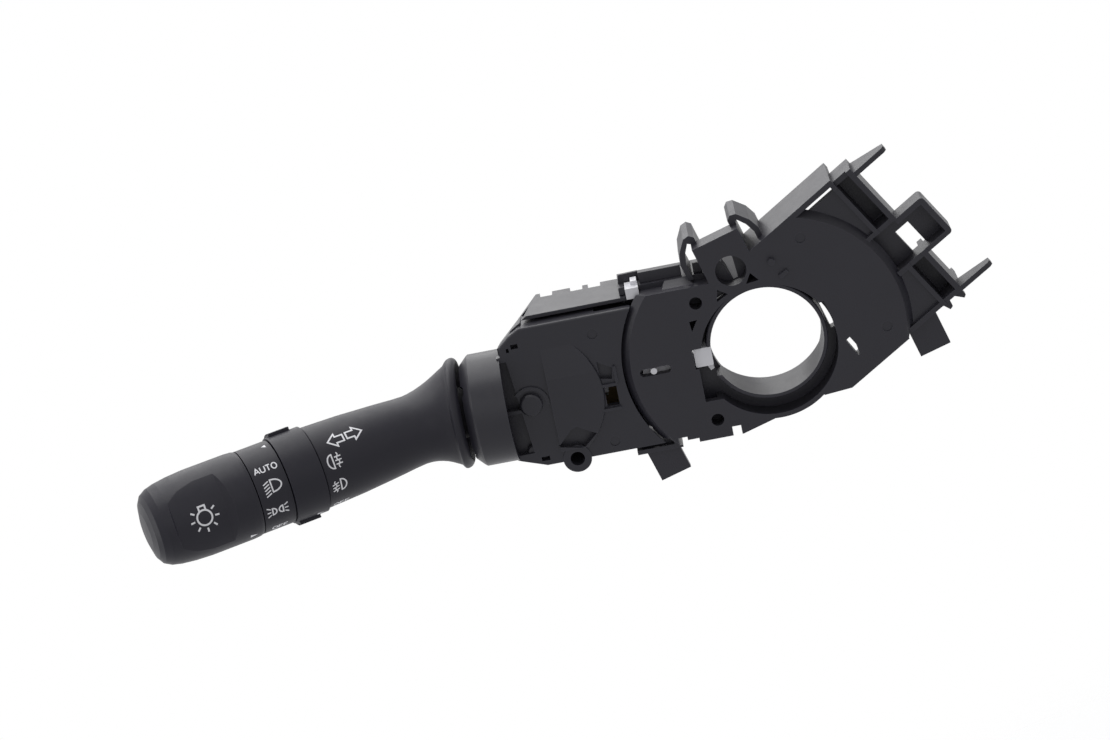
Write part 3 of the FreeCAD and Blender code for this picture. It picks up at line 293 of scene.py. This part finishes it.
def soft_lamp(name, place, size, power):
    """A square lamp of a size in metres and a power in watts, turned to the object's middle."""
    data = bpy.data.lights.new(name, "AREA")
    data.size, data.energy = size, power
    lamp = bpy.data.objects.new(name, data)
    lamp.location = place
    lamp.rotation_mode = "QUATERNION"
    lamp.rotation_quaternion = (AIM - Vector(place)).to_track_quat("-Z", "Y")
    bpy.context.scene.collection.objects.link(lamp)


for lamp in LAMPS:
    soft_lamp(*lamp)
print("lamps", [lamp[0] for lamp in LAMPS])

# %% [markdown]
# ## Grain
# Moulded black plastic isn't flat black. Its steel mould was etched, so the skin has a fine pebble grain, and the
# flow of the melt leaves faint broad mottling. Both are made in one node group that every plastic here uses with
# its own grain: the group gives a height for the bump, a shade and a sheen that changes the roughness.

# %% The moulded skin, as a node group
FINE_PER_METRE, FINE_SHARE = 5200.0, 0.35
STREAKS_PER_METRE = 160.0


def moulded_skin():
    """Pebble grain from a cell pattern, softened by fine noise, and mottling from noise of a few centimetres."""
    numbers = {"Grain per metre": 2200.0, "Mottle per metre": 45.0}
    tree, given, skin = number_group("moulded_skin", numbers, ["Height", "Shade", "Sheen"])
    place = object_place(tree)
    cells = add(tree, "ShaderNodeTexVoronoi", {"Vector": place, "Scale": given["Grain per metre"]})
    fine = noise(tree, place, FINE_PER_METRE, detail=2.0)
    height = calculated(tree, "MULTIPLY_ADD", fine, FINE_SHARE, cells.outputs["Distance"])
    feed(tree, skin, {"Height": height,
                      "Shade": noise(tree, place, given["Mottle per metre"], detail=4.0),
                      "Sheen": noise(tree, place, STREAKS_PER_METRE, detail=3.0)})
    return tree


MOULDED_SKIN = moulded_skin()

# %% [markdown]
# ## Painted edge highlight and dust
# The edges get a painted highlight: their colour is made lighter where the bevelled normal turns from the true one,
# standing in for light that catches the rounded edges. A little dust lies on upward faces: the group takes it from
# a noise that favours them. It gives two masks.

# %% Mask for the painted edge highlight, and dust mask, as a node group
BEVEL_SAMPLES = 4
EDGE_COSINES = (0.98, 0.80)


def edge_highlight_and_dust():
    """The edge mask, which places the painted highlight, is how far a normal rounded over a small radius turns from
    the face's own normal, and the dust mask is how far the face looks up, broken by noise."""
    numbers = {"Edge width": 0.0006, "Dust per metre": 300.0}
    tree, given, masks = number_group("edge_highlight_and_dust", numbers, ["Edge", "Dust"])
    normal = tree.nodes.new("ShaderNodeNewGeometry").outputs["Normal"]
    rounded = add(tree, "ShaderNodeBevel", {"Radius": given["Edge width"]}, samples=BEVEL_SAMPLES).outputs[0]
    cosine = add(tree, "ShaderNodeVectorMath", {0: rounded, 1: normal}, operation="DOT_PRODUCT").outputs["Value"]
    upward = add(tree, "ShaderNodeSeparateXYZ", {0: normal}).outputs["Z"]
    specks = noise(tree, object_place(tree), given["Dust per metre"], detail=5.0)
    # The Edge mask places a painted highlight: plastic() lightens the colour along the edges with it.
    feed(tree, masks, {"Edge": remapped(tree, cosine, EDGE_COSINES),
                       "Dust": calculated(tree, "MULTIPLY", upward, specks, use_clamp=True)})
    return tree


EDGE_HIGHLIGHT_AND_DUST = edge_highlight_and_dust()

# %% [markdown]
# ## Plastics
# The carrier, the module, the stalk with its band and ring, and the knob are black mouldings with slightly
# different skins. The white parts are acetal, which is smooth and a little waxy. One function makes them all from a
# colour, a roughness, a number of grains per metre and the depth of a grain in millimetres.

# %% Plastic materials
DUST_COLOUR = (0.32, 0.31, 0.3, 1.0)
PLASTIC_SPREAD, PLASTIC_BUMP = 0.06, 0.6


def toned(colour, gain):
    return (*[min(1.0, c * gain) for c in colour], 1.0)


def about(middle, spread):
    return middle - spread, middle + spread


def plastic(name, colour, roughness, grain, depth, shine=0.3, contrast=0.25, edge_highlight_gain=1.7, dust=0.05):
    """A moulded plastic: its colour shaded by mottling, with a painted highlight along the edges, and grain in its
    bump.
    """
    material, tree, shader = new_material(name)
    skin = add(tree, "ShaderNodeGroup", {"Grain per metre": grain}, node_tree=MOULDED_SKIN).outputs
    edge_and_dust = add(tree, "ShaderNodeGroup", node_tree=EDGE_HIGHLIGHT_AND_DUST).outputs
    dark, light = about(1.0, contrast / 2)
    mottled = mixed(tree, skin["Shade"], toned(colour, dark), toned(colour, light))
    # Painted highlight: the colour turns lighter along the edges by the edge gain, as where light catches them.
    with_edge_highlight = mixed(tree, edge_and_dust["Edge"], mottled, toned(colour, edge_highlight_gain))
    dusty = mixed(tree, calculated(tree, "MULTIPLY", edge_and_dust["Dust"], dust), with_edge_highlight, DUST_COLOUR)
    sheen = remapped(tree, skin["Sheen"], wanted=about(roughness, PLASTIC_SPREAD))
    grained = {"Height": skin["Height"], "Distance": depth * MM, "Strength": PLASTIC_BUMP}
    feed(tree, shader, {"Base Color": dusty, "Roughness": sheen, "Specular IOR Level": shine,
                        "Normal": add(tree, "ShaderNodeBump", grained).outputs[0]})
    return material


STALK_BLACK, RING_BLACK = (0.0155, 0.0150, 0.0215), (0.0140, 0.0136, 0.0200)
# The edge gain of each finish sets its painted edge highlight; a gain of 1.0 paints none.
WAXY = {"shine": 0.45, "contrast": 0.06, "edge_highlight_gain": 1.05, "dust": 0.02}
FINISHES = {
    "carrier_plastic": plastic("carrier_black", (0.0165, 0.0160, 0.0225), 0.42, 1900.0, 0.03),
    "case_plastic": plastic("case_black", (0.0158, 0.0155, 0.022), 0.38, 2300.0, 0.02),
    "stalk_plastic": plastic("stalk_black", STALK_BLACK, 0.46, 2600.0, 0.02, shine=0.2),
    "band_plastic": plastic("band_black", STALK_BLACK, 0.45, 2600.0, 0.02, shine=0.2),
    "ring_plastic": plastic("ring_black", RING_BLACK, 0.48, 2600.0, 0.02, shine=0.2),
    "knob_plastic": plastic("knob_black", (0.0170, 0.0165, 0.0235), 0.44, 2600.0, 0.02, shine=0.2),
    "core_plastic": plastic("core_black", (0.012, 0.012, 0.015), 0.55, 3000.0, 0.01, shine=0.12),
    "white_acetal": plastic("white_acetal", (0.66, 0.66, 0.70), 0.34, 3000.0, 0.008, **WAXY),
    "natural_acetal": plastic("natural_acetal", (0.60, 0.57, 0.50), 0.34, 3000.0, 0.008, **WAXY),
    "board": plastic("paper_laminate", (0.30, 0.22, 0.11), 0.5, 1500.0, 0.01, contrast=0.3, edge_highlight_gain=1.3),
}
print("plastics", sorted(FINISHES))

# %% [markdown]
# ## Metals
# The screws and the plungers are zinc plated, the contacts are brass and tinned brass, and the springs are drawn
# wire. Metal has no colour of its own under the skin, so only its reflection is tinted. Fine drawn streaks change
# its roughness, and their number per metre tells one metal from another.

# %% Metal materials
STREAK_STRETCH = (0.15, 1.0, 1.0)
METAL_TONES, METAL_SPREAD, METAL_DEPTH = (0.85, 1.1), 0.08, 0.004


def metal(name, colour, roughness, streaks):
    """A plated or drawn metal: a tinted mirror blurred by fine streaks, which are noise stretched along one way."""
    material, tree, shader = new_material(name)
    stretched = add(tree, "ShaderNodeMapping", {"Vector": object_place(tree), "Scale": STREAK_STRETCH}).outputs[0]
    drawn = noise(tree, stretched, streaks, detail=3.0)
    dark, light = METAL_TONES
    bump = add(tree, "ShaderNodeBump", {"Height": drawn, "Distance": METAL_DEPTH * MM})
    feed(tree, shader, {"Metallic": 1.0, "Base Color": mixed(tree, drawn, toned(colour, dark), toned(colour, light)),
                        "Roughness": remapped(tree, drawn, wanted=about(roughness, METAL_SPREAD)),
                        "Normal": bump.outputs[0]})
    return material


METALS = {
    "zinc_steel": metal("zinc_plated_steel", (0.60, 0.61, 0.63), 0.32, 900.0),
    "spring_steel": metal("spring_wire", (0.50, 0.50, 0.52), 0.28, 1500.0),
    "brass": metal("stamped_brass", (0.72, 0.55, 0.30), 0.30, 1100.0),
    "tinned_brass": metal("tinned_brass", (0.70, 0.70, 0.68), 0.35, 1100.0),
}
FINISHES.update(METALS)
print("metals", sorted(METALS))

# %% [markdown]
# ## Dressing the solids
# The record says which finish each solid has, so one loop dresses them all.

# %% Give every solid its finish
for part in frame["record"]["subparts"]:
    for material_slot in frame["nodes"][part["node"]].material_slots:
        material_slot.material = FINISHES[part["material_slot"]]

# %% [markdown]
# ## The stalk's shell
# The shell's solid ends in a plain disc. On the real stalk the trumpet runs out into a fat rounded rim that hides
# most of the gap to the snout, and a surface can say that more smoothly than a solid. Rings of a profile are
# carried along the stalk's axis. They tilt as they go, from square to the arm at the rim to square to the stalk at
# the neck. The rim is hollow in its face, as the solid is, so that it clears the snout when the stalk swings.

# %% The shell, as a profile carried along the stalk
ARM_OUT = unit(left_arm(1.0, 0.0, 0.0))
TILT_START, TILT_END = 1.0, 15.0
RIM_AT, RIM_MIDDLE_R, RIM_ROUND = 0.2, 17.5, 2.4
RIM_TURN, RIM_POINTS = (-72, 52), 14
TRUMPET = [(2.9, 17.95), (4.2, 17.25), (5.6, 16.5), (7.2, 15.65), (9.0, 14.8), (11.0, 14.05), (13.2, 13.4),
           (15.6, 12.95), (18.0, 12.75)]
SHAFT = [(22.0, 12.95), (26.5, 13.35), (31.0, 13.7), (37.0, 14.1), (43.0, 14.5), (50.0, 14.75), (56.6, 14.98)]
END = [(57.1, 14.99), (57.2, 14.85), (57.2, 9.4)]
BORE = [(57.2, 9.3), (20.0, 9.3), (1.0, 10.2)]
HOLLOW = [(1.0, 18.0), (0.8, 18.2), (-1.9, 18.2)]
AROUND = 144


def rim_arc():
    """The rim's round: sine and cosine of an angle that turns from the rim's tip to where the trumpet starts."""
    turn = np.radians(np.linspace(*RIM_TURN, RIM_POINTS))
    return np.stack([RIM_AT + RIM_ROUND * np.sin(turn), RIM_MIDDLE_R + RIM_ROUND * np.cos(turn)], axis=1)


def carried_rings(profile):
    """One ring of points for each pair of a distance along the stalk and a radius. Each ring's normal is a mix
    of the arm's direction and the stalk's, and the mix follows the distance."""
    along, radius = np.asarray(profile).T
    mix = np.clip((along - TILT_START) / (TILT_END - TILT_START), 0, 1)[:, None]
    normal = (1 - mix) * ARM_OUT + mix * ALONG
    normal /= np.linalg.norm(normal, axis=1)[:, None]
    front = FRONT - normal * (normal @ FRONT)[:, None]
    front /= np.linalg.norm(front, axis=1)[:, None]
    side = np.cross(normal, front)
    angle = np.linspace(0, 2 * math.pi, AROUND, endpoint=False)[None, :, None]
    spokes = np.cos(angle) * front[:, None] + np.sin(angle) * side[:, None]
    return (FLANGE + along[:, None, None] * ALONG + radius[:, None, None] * spokes) * MM


def stalk_shell():
    """Out over the rim, along the trumpet and the shaft, round the end, and back through the bore to the rim."""
    rings = carried_rings(np.concatenate([rim_arc(), TRUMPET, SHAFT, END, BORE, HOLLOW]))
    shell = mesh_object("shell_with_rim", rings, grid_faces(*rings.shape[:2], wrap_rows=True, wrap_columns=True))
    shell.data.shade_smooth()
    shell.data.materials.append(FINISHES["stalk_plastic"])
    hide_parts("stalk_shell")
    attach(shell, "stalk")
    return shell


shell = stalk_shell()
print("shell faces", len(shell.data.polygons))

# %% [markdown]
# ## Blind holes
# The screw holes and the small recess in the left plate end in bosses behind it, so they look black. The solid has
# plain openings there. Each boss is a cup: a closed profile turned round the hole's axis, at a place a, b on the
# arm and with the hole's radius inside.

# %% Cups behind the openings
CUPS = [("boss_upper", 22.2, 18.8, 2.9), ("boss_lower", 22.2, -25.6, 2.9), ("boss_recess", 24.6, 11.3, 2.7)]
CUP_TOP, CUP_FLOOR, CUP_WALL = -2.8, -9.0, 0.9
AROUND_HOLE = 40


def turned(name, a, b, profile):
    """A closed profile of radius and depth, turned round an axis toward the driver at one place on the arm."""
    r, z = np.array(profile).T
    angle = np.linspace(0, 2 * math.pi, AROUND_HOLE, endpoint=False)
    along = a + r[:, None] * np.cos(angle)
    up = b + r[:, None] * np.sin(angle)
    points = np.moveaxis(left_arm(along, up, np.broadcast_to(z[:, None], along.shape)), 0, -1) * MM
    return mesh_object(name, points, grid_faces(len(r), len(angle), wrap_rows=True, wrap_columns=True))


def cup(name, a, b, radius):
    """Down the outside, under the floor, and up the inside."""
    outside, inside = radius + CUP_WALL, CUP_FLOOR + CUP_WALL
    return turned(name, a, b, [(outside, CUP_TOP), (outside, CUP_FLOOR), (0.0, CUP_FLOOR), (0.0, inside),
                               (radius, inside), (radius, CUP_TOP)])


def hand_over(piece, body, finish):
    piece.data.materials.append(FINISHES[finish])
    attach(piece, body)
    print(piece.name, len(piece.data.polygons), "faces")


for place in CUPS:
    hand_over(cup(*place), "housing", "carrier_plastic")

# %% [markdown]
# ## Webs, walls and small forms
# The solids let the white ground through in places where the photograph is dark. Low webs close the view under the
# white retainer, the triangular hole under the top box and the corner at the disc's rim, and a strip closes the slit
# beside the right arm's channel. A floor closes the crescent beside the snout, with a cap over the end of the screw
# in its corner, and a plug closes the back of the lower boss. Low walls and a ramp stand on the left arm's stepped
# top, and two small hooks hang under the right arm's end. The white pawl has a short tail over its spring, which is
# what shows in the pin's slot on the far side of the pin. Each plate is given by four corners on the arm and by the
# depths of its front and back.

# %% Plates, cap, plug, ramp and tail
PLATES = [("web_under_retainer", [(38.0, 13.5), (46.5, 13.5), (46.5, 24.5), (38.0, 24.5)], (-13.0, -14.4)),
          ("floor_beside_snout", [(91.0, 10.6), (87.9, -26.0), (95.2, -26.0), (95.2, 10.6)], (-4.4, -5.0)),
          ("wall_on_ledge", [(25.2, 26.9), (40.3, 26.9), (40.3, 31.0), (25.2, 31.0)], (-8.8, -10.2)),
          ("wall_behind_retainer", [(40.3, 26.9), (47.9, 26.9), (47.4, 30.3), (40.3, 30.5)], (-12.6, -14.0)),
          ("wall_under_ear", [(17.8, 26.9), (20.9, 26.9), (20.9, 30.6), (17.8, 30.6)], (-8.8, -10.2)),
          ("web_at_rim", [(39.2, -32.6), (45.8, -32.6), (45.8, -27.0), (39.2, -27.0)], (-11.1, -11.9)),
          ("web_in_triangle", [(16.0, 20.0), (10.8, 21.4), (10.0, 20.6), (15.4, 17.7)], (-3.2, -4.0)),
          ("strip_beside_channel", [(52.0, 2.2), (59.6, 2.2), (59.6, 3.9), (52.0, 3.9)], (-12.2, -13.2), -1),
          ("hook_inner", [(53.2, -33.0), (56.3, -33.0), (55.7, -35.8), (54.3, -36.2)], (-2.0, -5.0), -1),
          ("hook_outer", [(58.2, -33.0), (61.8, -33.0), (61.8, -35.6), (60.7, -36.3)], (-2.0, -5.0), -1)]
RAMP = [(21.5, 24.9, -3.1), (33.0, 24.9, -3.1), (21.5, 24.9, -7.1), (33.0, 24.9, -7.1), (24.0, 26.95, -7.1),
        (31.6, 26.95, -7.1)]
RAMP_FACES = [[0, 1, 3, 2], [2, 3, 5, 4], [0, 4, 5, 1], [0, 2, 4], [1, 5, 3]]
PAWL_TAIL = ("pawl_tail", [(42.7, -5.3), (42.7, -1.1), (45.1, -1.1), (45.1, -5.3)], (-4.7, -5.05))
CAP = ("cap_over_screw", 88.6, -25.4, [(1.4, -5.0), (2.4, -5.0), (2.4, -2.6), (1.9, -2.1), (0.0, -2.0), (0.0, -2.3),
                                       (1.4, -2.3)])
PLUG = ("boss_plug", 73.8, -30.5, [(0.0, -14.05), (3.4, -14.05), (3.4, -15.0), (0.0, -15.0)])
BEVEL_MM, BEVEL_STEPS = 0.2, 2


def bevelled(piece):
    edge = piece.modifiers.new("edge", "BEVEL")
    edge.width, edge.segments = BEVEL_MM * MM, BEVEL_STEPS
    return piece


def thin_plate(name, outline, depths, side=1):
    """Two rows of corners, one in front and one behind, with a small bevel all round. Side -1 mirrors the left
    arm's place to the right arm."""
    corners = [left_arm(a, b, z) * (side, 1, 1) * MM for z in depths for a, b in outline]
    faces = grid_faces(2, 4, wrap_columns=True).tolist() + [[3, 2, 1, 0], [4, 5, 6, 7]]
    return bevelled(mesh_object(name, corners, faces))


def ramp_on_ledge():
    """A wedge whose slope rises from the plate's edge to the step behind it, with ends that lean in."""
    return bevelled(mesh_object("ramp_on_ledge", [left_arm(*corner) * MM for corner in RAMP], RAMP_FACES))


fillers = [thin_plate(*plate) for plate in PLATES] + [turned(*CAP), turned(*PLUG), ramp_on_ledge()]
for piece in fillers:
    hand_over(piece, "housing", "carrier_plastic")
hand_over(thin_plate(*PAWL_TAIL), "cancel_pawl", "white_acetal")

# %% [markdown]
# ## Printed marks
# The white marks are ink, a few hundredths of a millimetre thick, so each is a real low ribbon that follows the
# surface under it. A mark is drawn on a flat sheet first, x to the reader's right and y up, in millimetres. A
# stroke is a path with a width; its cross-section is a thin rectangle carried along the path, from a little under
# the surface to the ink's top. The sheet is then wrapped round the stalk: x runs back along the axis and y runs
# round it.

# %% Strokes on a sheet
INK_LOW, INK_HIGH = -0.12, 0.035
STROKE, STEP = 0.5, 0.7
LEAST_COSINE = 0.5
RING_STEPS = 40


def fine_path(path, width, closed):
    """A path with its long segments divided into equal steps, so that the ribbon can follow a round surface.
    The width is shared out along each segment in the same way."""
    path = np.asarray(path, dtype=float)
    rows = np.column_stack([path, np.broadcast_to(np.asarray(width, dtype=float), len(path))])
    ends = np.roll(rows, -1, axis=0) if closed else rows[1:]
    fine = []
    for start, end in zip(rows, ends):
        steps = max(1, round(math.dist(start[:2], end[:2]) / STEP))
        fine.append(start + (end - start) * (np.arange(steps) / steps)[:, None])
    if not closed:
        fine.append(rows[-1:])
    fine = np.concatenate(fine)
    return fine[:, :2], fine[:, 2]


def stroke(path, width=STROKE, closed=False):
    """The ribbon round a path: each point moves half a width to either side along the mean normal of its two
    segments, stretched where the path turns, and the four corners of the section give four rows."""
    path, width = fine_path(path, width, closed)
    after, before = np.roll(path, -1, axis=0), np.roll(path, 1, axis=0)
    if not closed:
        after[-1], before[0] = 2 * path[-1] - path[-2], 2 * path[0] - path[1]
    ahead, behind = after - path, path - before
    ahead /= np.linalg.norm(ahead, axis=1)[:, None]
    behind /= np.linalg.norm(behind, axis=1)[:, None]
    mean = ahead + behind
    mean /= np.linalg.norm(mean, axis=1)[:, None]
    normal = np.stack([-mean[:, 1], mean[:, 0]], axis=1)
    stretch = 1 / np.clip((mean * ahead).sum(axis=1), LEAST_COSINE, 1.0)
    half = normal * (width * stretch / 2)[:, None]
    sides = [(path - half, INK_LOW), (path - half, INK_HIGH), (path + half, INK_HIGH), (path + half, INK_LOW)]
    points = np.stack([np.concatenate([side, np.full((len(path), 1), h)], axis=1) for side, h in sides], axis=1)
    faces = grid_faces(len(path), 4, wrap_rows=closed, wrap_columns=True).tolist()
    if not closed:
        end = (len(path) - 1) * 4
        faces += [[3, 2, 1, 0], [end, end + 1, end + 2, end + 3]]
    return points.reshape(-1, 3), faces


def arc(x, y, radius_x, radius_y, start, end, steps):
    """Points of an ellipse's arc, with its angles in degrees from the reader's right toward the top."""
    angle = np.radians(np.linspace(start, end, steps))
    return np.stack([x + radius_x * np.cos(angle), y + radius_y * np.sin(angle)], axis=1)


def ring_path(x, y, radius_x, radius_y):
    return arc(x, y, radius_x, radius_y, 0, 360 - 360 / RING_STEPS, RING_STEPS)


print("ink", INK_HIGH, "mm thick")

# %% [markdown]
# ## Letters
# Two plain words of function are printed here, AUTO and OFF. They are built from strokes of one width in a
# capital box one unit high, as an engraver's alphabet is.

# %% An engraver's letters
LETTERS = {
    "A": (0.86, [([(0.0, 0.0), (0.43, 1.0), (0.86, 0.0)], False), ([(0.15, 0.32), (0.71, 0.32)], False)]),
    "F": (0.62, [([(0.62, 1.0), (0.0, 1.0), (0.0, 0.0)], False), ([(0.0, 0.52), (0.52, 0.52)], False)]),
    "O": (0.84, [(ring_path(0.42, 0.5, 0.42, 0.5), True)]),
    "T": (0.72, [([(0.0, 1.0), (0.72, 1.0)], False), ([(0.36, 1.0), (0.36, 0.0)], False)]),
    "U": (0.74, [(np.concatenate([[(0.0, 1.0)], arc(0.37, 0.37, 0.37, 0.37, 180, 360, 16), [(0.74, 1.0)]]), False)]),
}
LETTER_GAP, LETTER_STROKE = 0.24, 0.42


def word(text, height):
    """Strokes of a word, centred on the sheet, with letters side by side."""
    total = sum(LETTERS[c][0] for c in text) + LETTER_GAP * (len(text) - 1)
    x = -total / 2
    strokes = []
    for c in text:
        wide, paths = LETTERS[c]
        strokes += [stroke((np.asarray(path) + (x, -0.5)) * height, LETTER_STROKE, closed) for path, closed in paths]
        x += wide + LETTER_GAP
    return strokes


print("letters", " ".join(sorted(LETTERS)))

# %% [markdown]
# ## Lamp symbols
# A car's lamp symbols share one lens outline: a flat side and a round bulge. The beams tell which lamp it is:
# slanted for dipped beam, slanted and crossed by a wavy line for front fog, level and crossed for rear fog, and a
# fan for the parking lamps.

# %% Lens, beams and whole symbols
BEAM_STROKE, WAVE_STROKE, BULB_STROKE, ARROW_STROKE = 0.425, 0.4, 0.62, 0.55
LENS_STEPS, WAVE_STEPS = 22, 18
WAVE_SWING, POINTER_TIP = 0.32, 0.04


def lens(x, y, width, height, facing):
    """A lens outline: a flat side and an arc of an ellipse that bulges to the right for facing 1."""
    return stroke(arc(x - facing * width / 2, y, facing * width, height / 2, -90, 90, LENS_STEPS), closed=True)


def beam(x, y, length, slope, facing):
    """One straight ray that starts at a point and runs away from the lens, falling by its slope."""
    return stroke([(x, y), (x - facing * length, y - slope * length)], BEAM_STROKE)


def wave(x, y, height, facing):
    """An upright wavy line: a sine of the height, in two full waves."""
    up = np.linspace(-0.5, 0.5, WAVE_STEPS)
    swing = WAVE_SWING * np.sin(up * 4 * math.pi) * facing
    return stroke(np.stack([x + swing, y + up * height], axis=1), WAVE_STROKE)


def headlamp():
    """A tall lens with five slanted rays."""
    rays = [beam(-0.65, 1.95 - 1.08 * i, 2.1, 0.42, 1) for i in range(5)]
    return [lens(1.8, 0.0, 3.6, 4.3, 1)] + rays


def front_fog():
    """A lens with three slanted rays that a wavy line crosses."""
    rays = [beam(-0.75, 1.2 - 1.2 * i, 2.5, 0.25, 1) for i in range(3)]
    return [lens(1.0, 0.0, 2.0, 4.4, 1), wave(-2.0, -0.3, 4.6, 1)] + rays


def rear_fog():
    """A lens that faces the other way, with three level rays that a wavy line crosses."""
    rays = [beam(0.8, 1.3 - 1.3 * i, 2.4, 0.0, -1) for i in range(3)]
    return [lens(-1.0, 0.0, 2.0, 5.0, -1), wave(1.9, 0.0, 5.4, -1)] + rays


def parking_lamps():
    """Two small lenses, bulge to bulge, each with a fan of three rays."""
    strokes = []
    for side in (-1, 1):
        strokes.append(lens(side * 1.2, 0.0, 1.45, 2.6, -side))
        for slope in (-0.55, 0.0, 0.55):
            strokes.append(beam(side * 2.55, -slope * 2.1, 1.35, slope, -side))
    return strokes


def lit_bulb():
    """A bulb: a circle with a small square cap on top and seven rays round the rest."""
    radius, inner, outer = 2.65, 3.7, 5.2
    strokes = [stroke(ring_path(0, 0, radius, radius), BULB_STROKE, closed=True)]
    strokes.append(stroke([(-1.15, 2.45), (-1.15, 4.15), (1.15, 4.15), (1.15, 2.45)], BULB_STROKE))
    for angle in np.radians([-90, -132, -174, -214, -48, -6, 34]):
        way = np.array([math.cos(angle), math.sin(angle)])
        strokes.append(stroke([way * inner, way * outer], BULB_STROKE))
    return strokes


def turn_arrow(facing):
    """An outlined arrow: a head of two slants and a short square tail."""
    outline = [(-3.0, 0.0), (0.1, 2.55), (0.1, 1.25), (2.9, 1.25), (2.9, -1.25), (0.1, -1.25), (0.1, -2.55)]
    return [stroke([(-facing * x, y) for x, y in outline], ARROW_STROKE, closed=True)]


def pointer(facing, length=2.5, height=1.9):
    """A filled triangle: a stroke whose width falls to nothing at its tip."""
    return [stroke([(-facing * length / 2, 0), (facing * length / 2, 0)], [height, POINTER_TIP])]


print("lenses drawn with a stroke of", STROKE, "mm")

# %% [markdown]
# ## Surfaces under the marks
# To wrap a sheet, the radius of the surface under each point must be known. The shell widens from its neck, the
# ring and band are plain cylinders, and the knob has a shallow thumb flat, part of a larger cylinder whose axis
# lies off the stalk's.

# %% Radii of the stalk's surfaces
SHELL_PROFILE = (18.0, 22.0, 31.0, 43.0, 57.2), (12.7, 12.95, 13.7, 14.5, 15.0)
RING_PROFILE = (57.4, 70.0), (15.8, 15.8)
BAND_PROFILE = (70.0, 81.8), (15.2, 15.2)
KNOB_PROFILE = (82.0, 83.0, 85.5, 101.0), (15.2, 15.5, 15.7, 15.7)
FLAT_R, FLAT_DEPTH, FLAT_TURN = 20.0, 14.0, math.radians(12.0)


def turned_radius(profile):
    """The radius of a turned surface: read from its profile at the place along the stalk, whatever the angle."""
    return lambda along, angle: np.interp(along, *profile)


def thumb_flat_radius(along, angle):
    """The distance from the stalk's axis to a cylinder whose own axis is set back by its radius less the depth."""
    back, off = FLAT_R - FLAT_DEPTH, angle - FLAT_TURN
    return np.sqrt(FLAT_R ** 2 - (back * np.sin(off)) ** 2) - back * np.cos(off)


shell_radius, ring_radius = turned_radius(SHELL_PROFILE), turned_radius(RING_PROFILE)
band_radius, knob_radius = turned_radius(BAND_PROFILE), turned_radius(KNOB_PROFILE)
print("thumb flat", round(thumb_flat_radius(0.0, FLAT_TURN), 2), "mm from the axis at its middle")

# %% [markdown]
# ## Wrapping and placing the marks
# Each mark is one piece that rides on the body that carries it, so the knob's bulb turns with the knob. A row of
# the table gives its name, its strokes, how far along the stalk it lies, its angle in degrees, the surface under it
# and its body.

# %% Print every mark
INK = plastic("white_ink", (0.78, 0.78, 0.82), 0.5, 3000.0, 0.004, shine=0.3, contrast=0.04, edge_highlight_gain=1.0, dust=0.0)


def print_mark(name, strokes, along, degrees, surface, body):
    """Joins the strokes and wraps them: x runs back along the axis, y over the radius is the angle."""
    points, faces, count = [], [], 0
    for stroke_points, stroke_faces in strokes:
        points.append(stroke_points)
        faces += [[corner + count for corner in face] for face in stroke_faces]
        count += len(stroke_points)
    sheet = np.concatenate(points)
    middle = math.radians(degrees)
    place, angle = along - sheet[:, 0], middle + sheet[:, 1] / surface(along, middle)
    mark = mesh_object(name, on_stalk(place, angle, surface(place, angle) + sheet[:, 2]), faces)
    mark.data.materials.append(INK)
    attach(mark, body)


MARKS = [
    ("mark_bulb", lit_bulb(), 101.5, 10.2, thumb_flat_radius, "light_knob"),
    ("mark_knob_pointer", pointer(1), 86.3, -45.5, knob_radius, "light_knob"),
    ("mark_auto", word("AUTO", 2.15), 76.0, 43.3, band_radius, "stalk"),
    ("mark_headlamp", headlamp(), 76.3, 18.6, band_radius, "stalk"),
    ("mark_parking", parking_lamps(), 76.5, -16.1, band_radius, "stalk"),
    ("mark_off", word("OFF", 2.2), 76.2, -51.2, band_radius, "stalk"),
    ("mark_band_pointer", pointer(-1, 1.5, 1.8), 72.6, 81.0, band_radius, "stalk"),
    ("mark_ring_pointer", pointer(1), 60.9, -56.5, ring_radius, "fog_ring"),
    ("mark_arrow_left", turn_arrow(-1), 49.1, 47.0, shell_radius, "stalk"),
    ("mark_arrow_right", turn_arrow(1), 42.1, 47.9, shell_radius, "stalk"),
    ("mark_rear_fog", rear_fog(), 52.9, 19.9, shell_radius, "stalk"),
    ("mark_front_fog", front_fog(), 52.4, -14.8, shell_radius, "stalk"),
    ("mark_fog_off", word("OFF", 2.2), 52.6, -55.5, shell_radius, "stalk"),
]
for mark in MARKS:
    print_mark(*mark)
print("marks", len(MARKS))
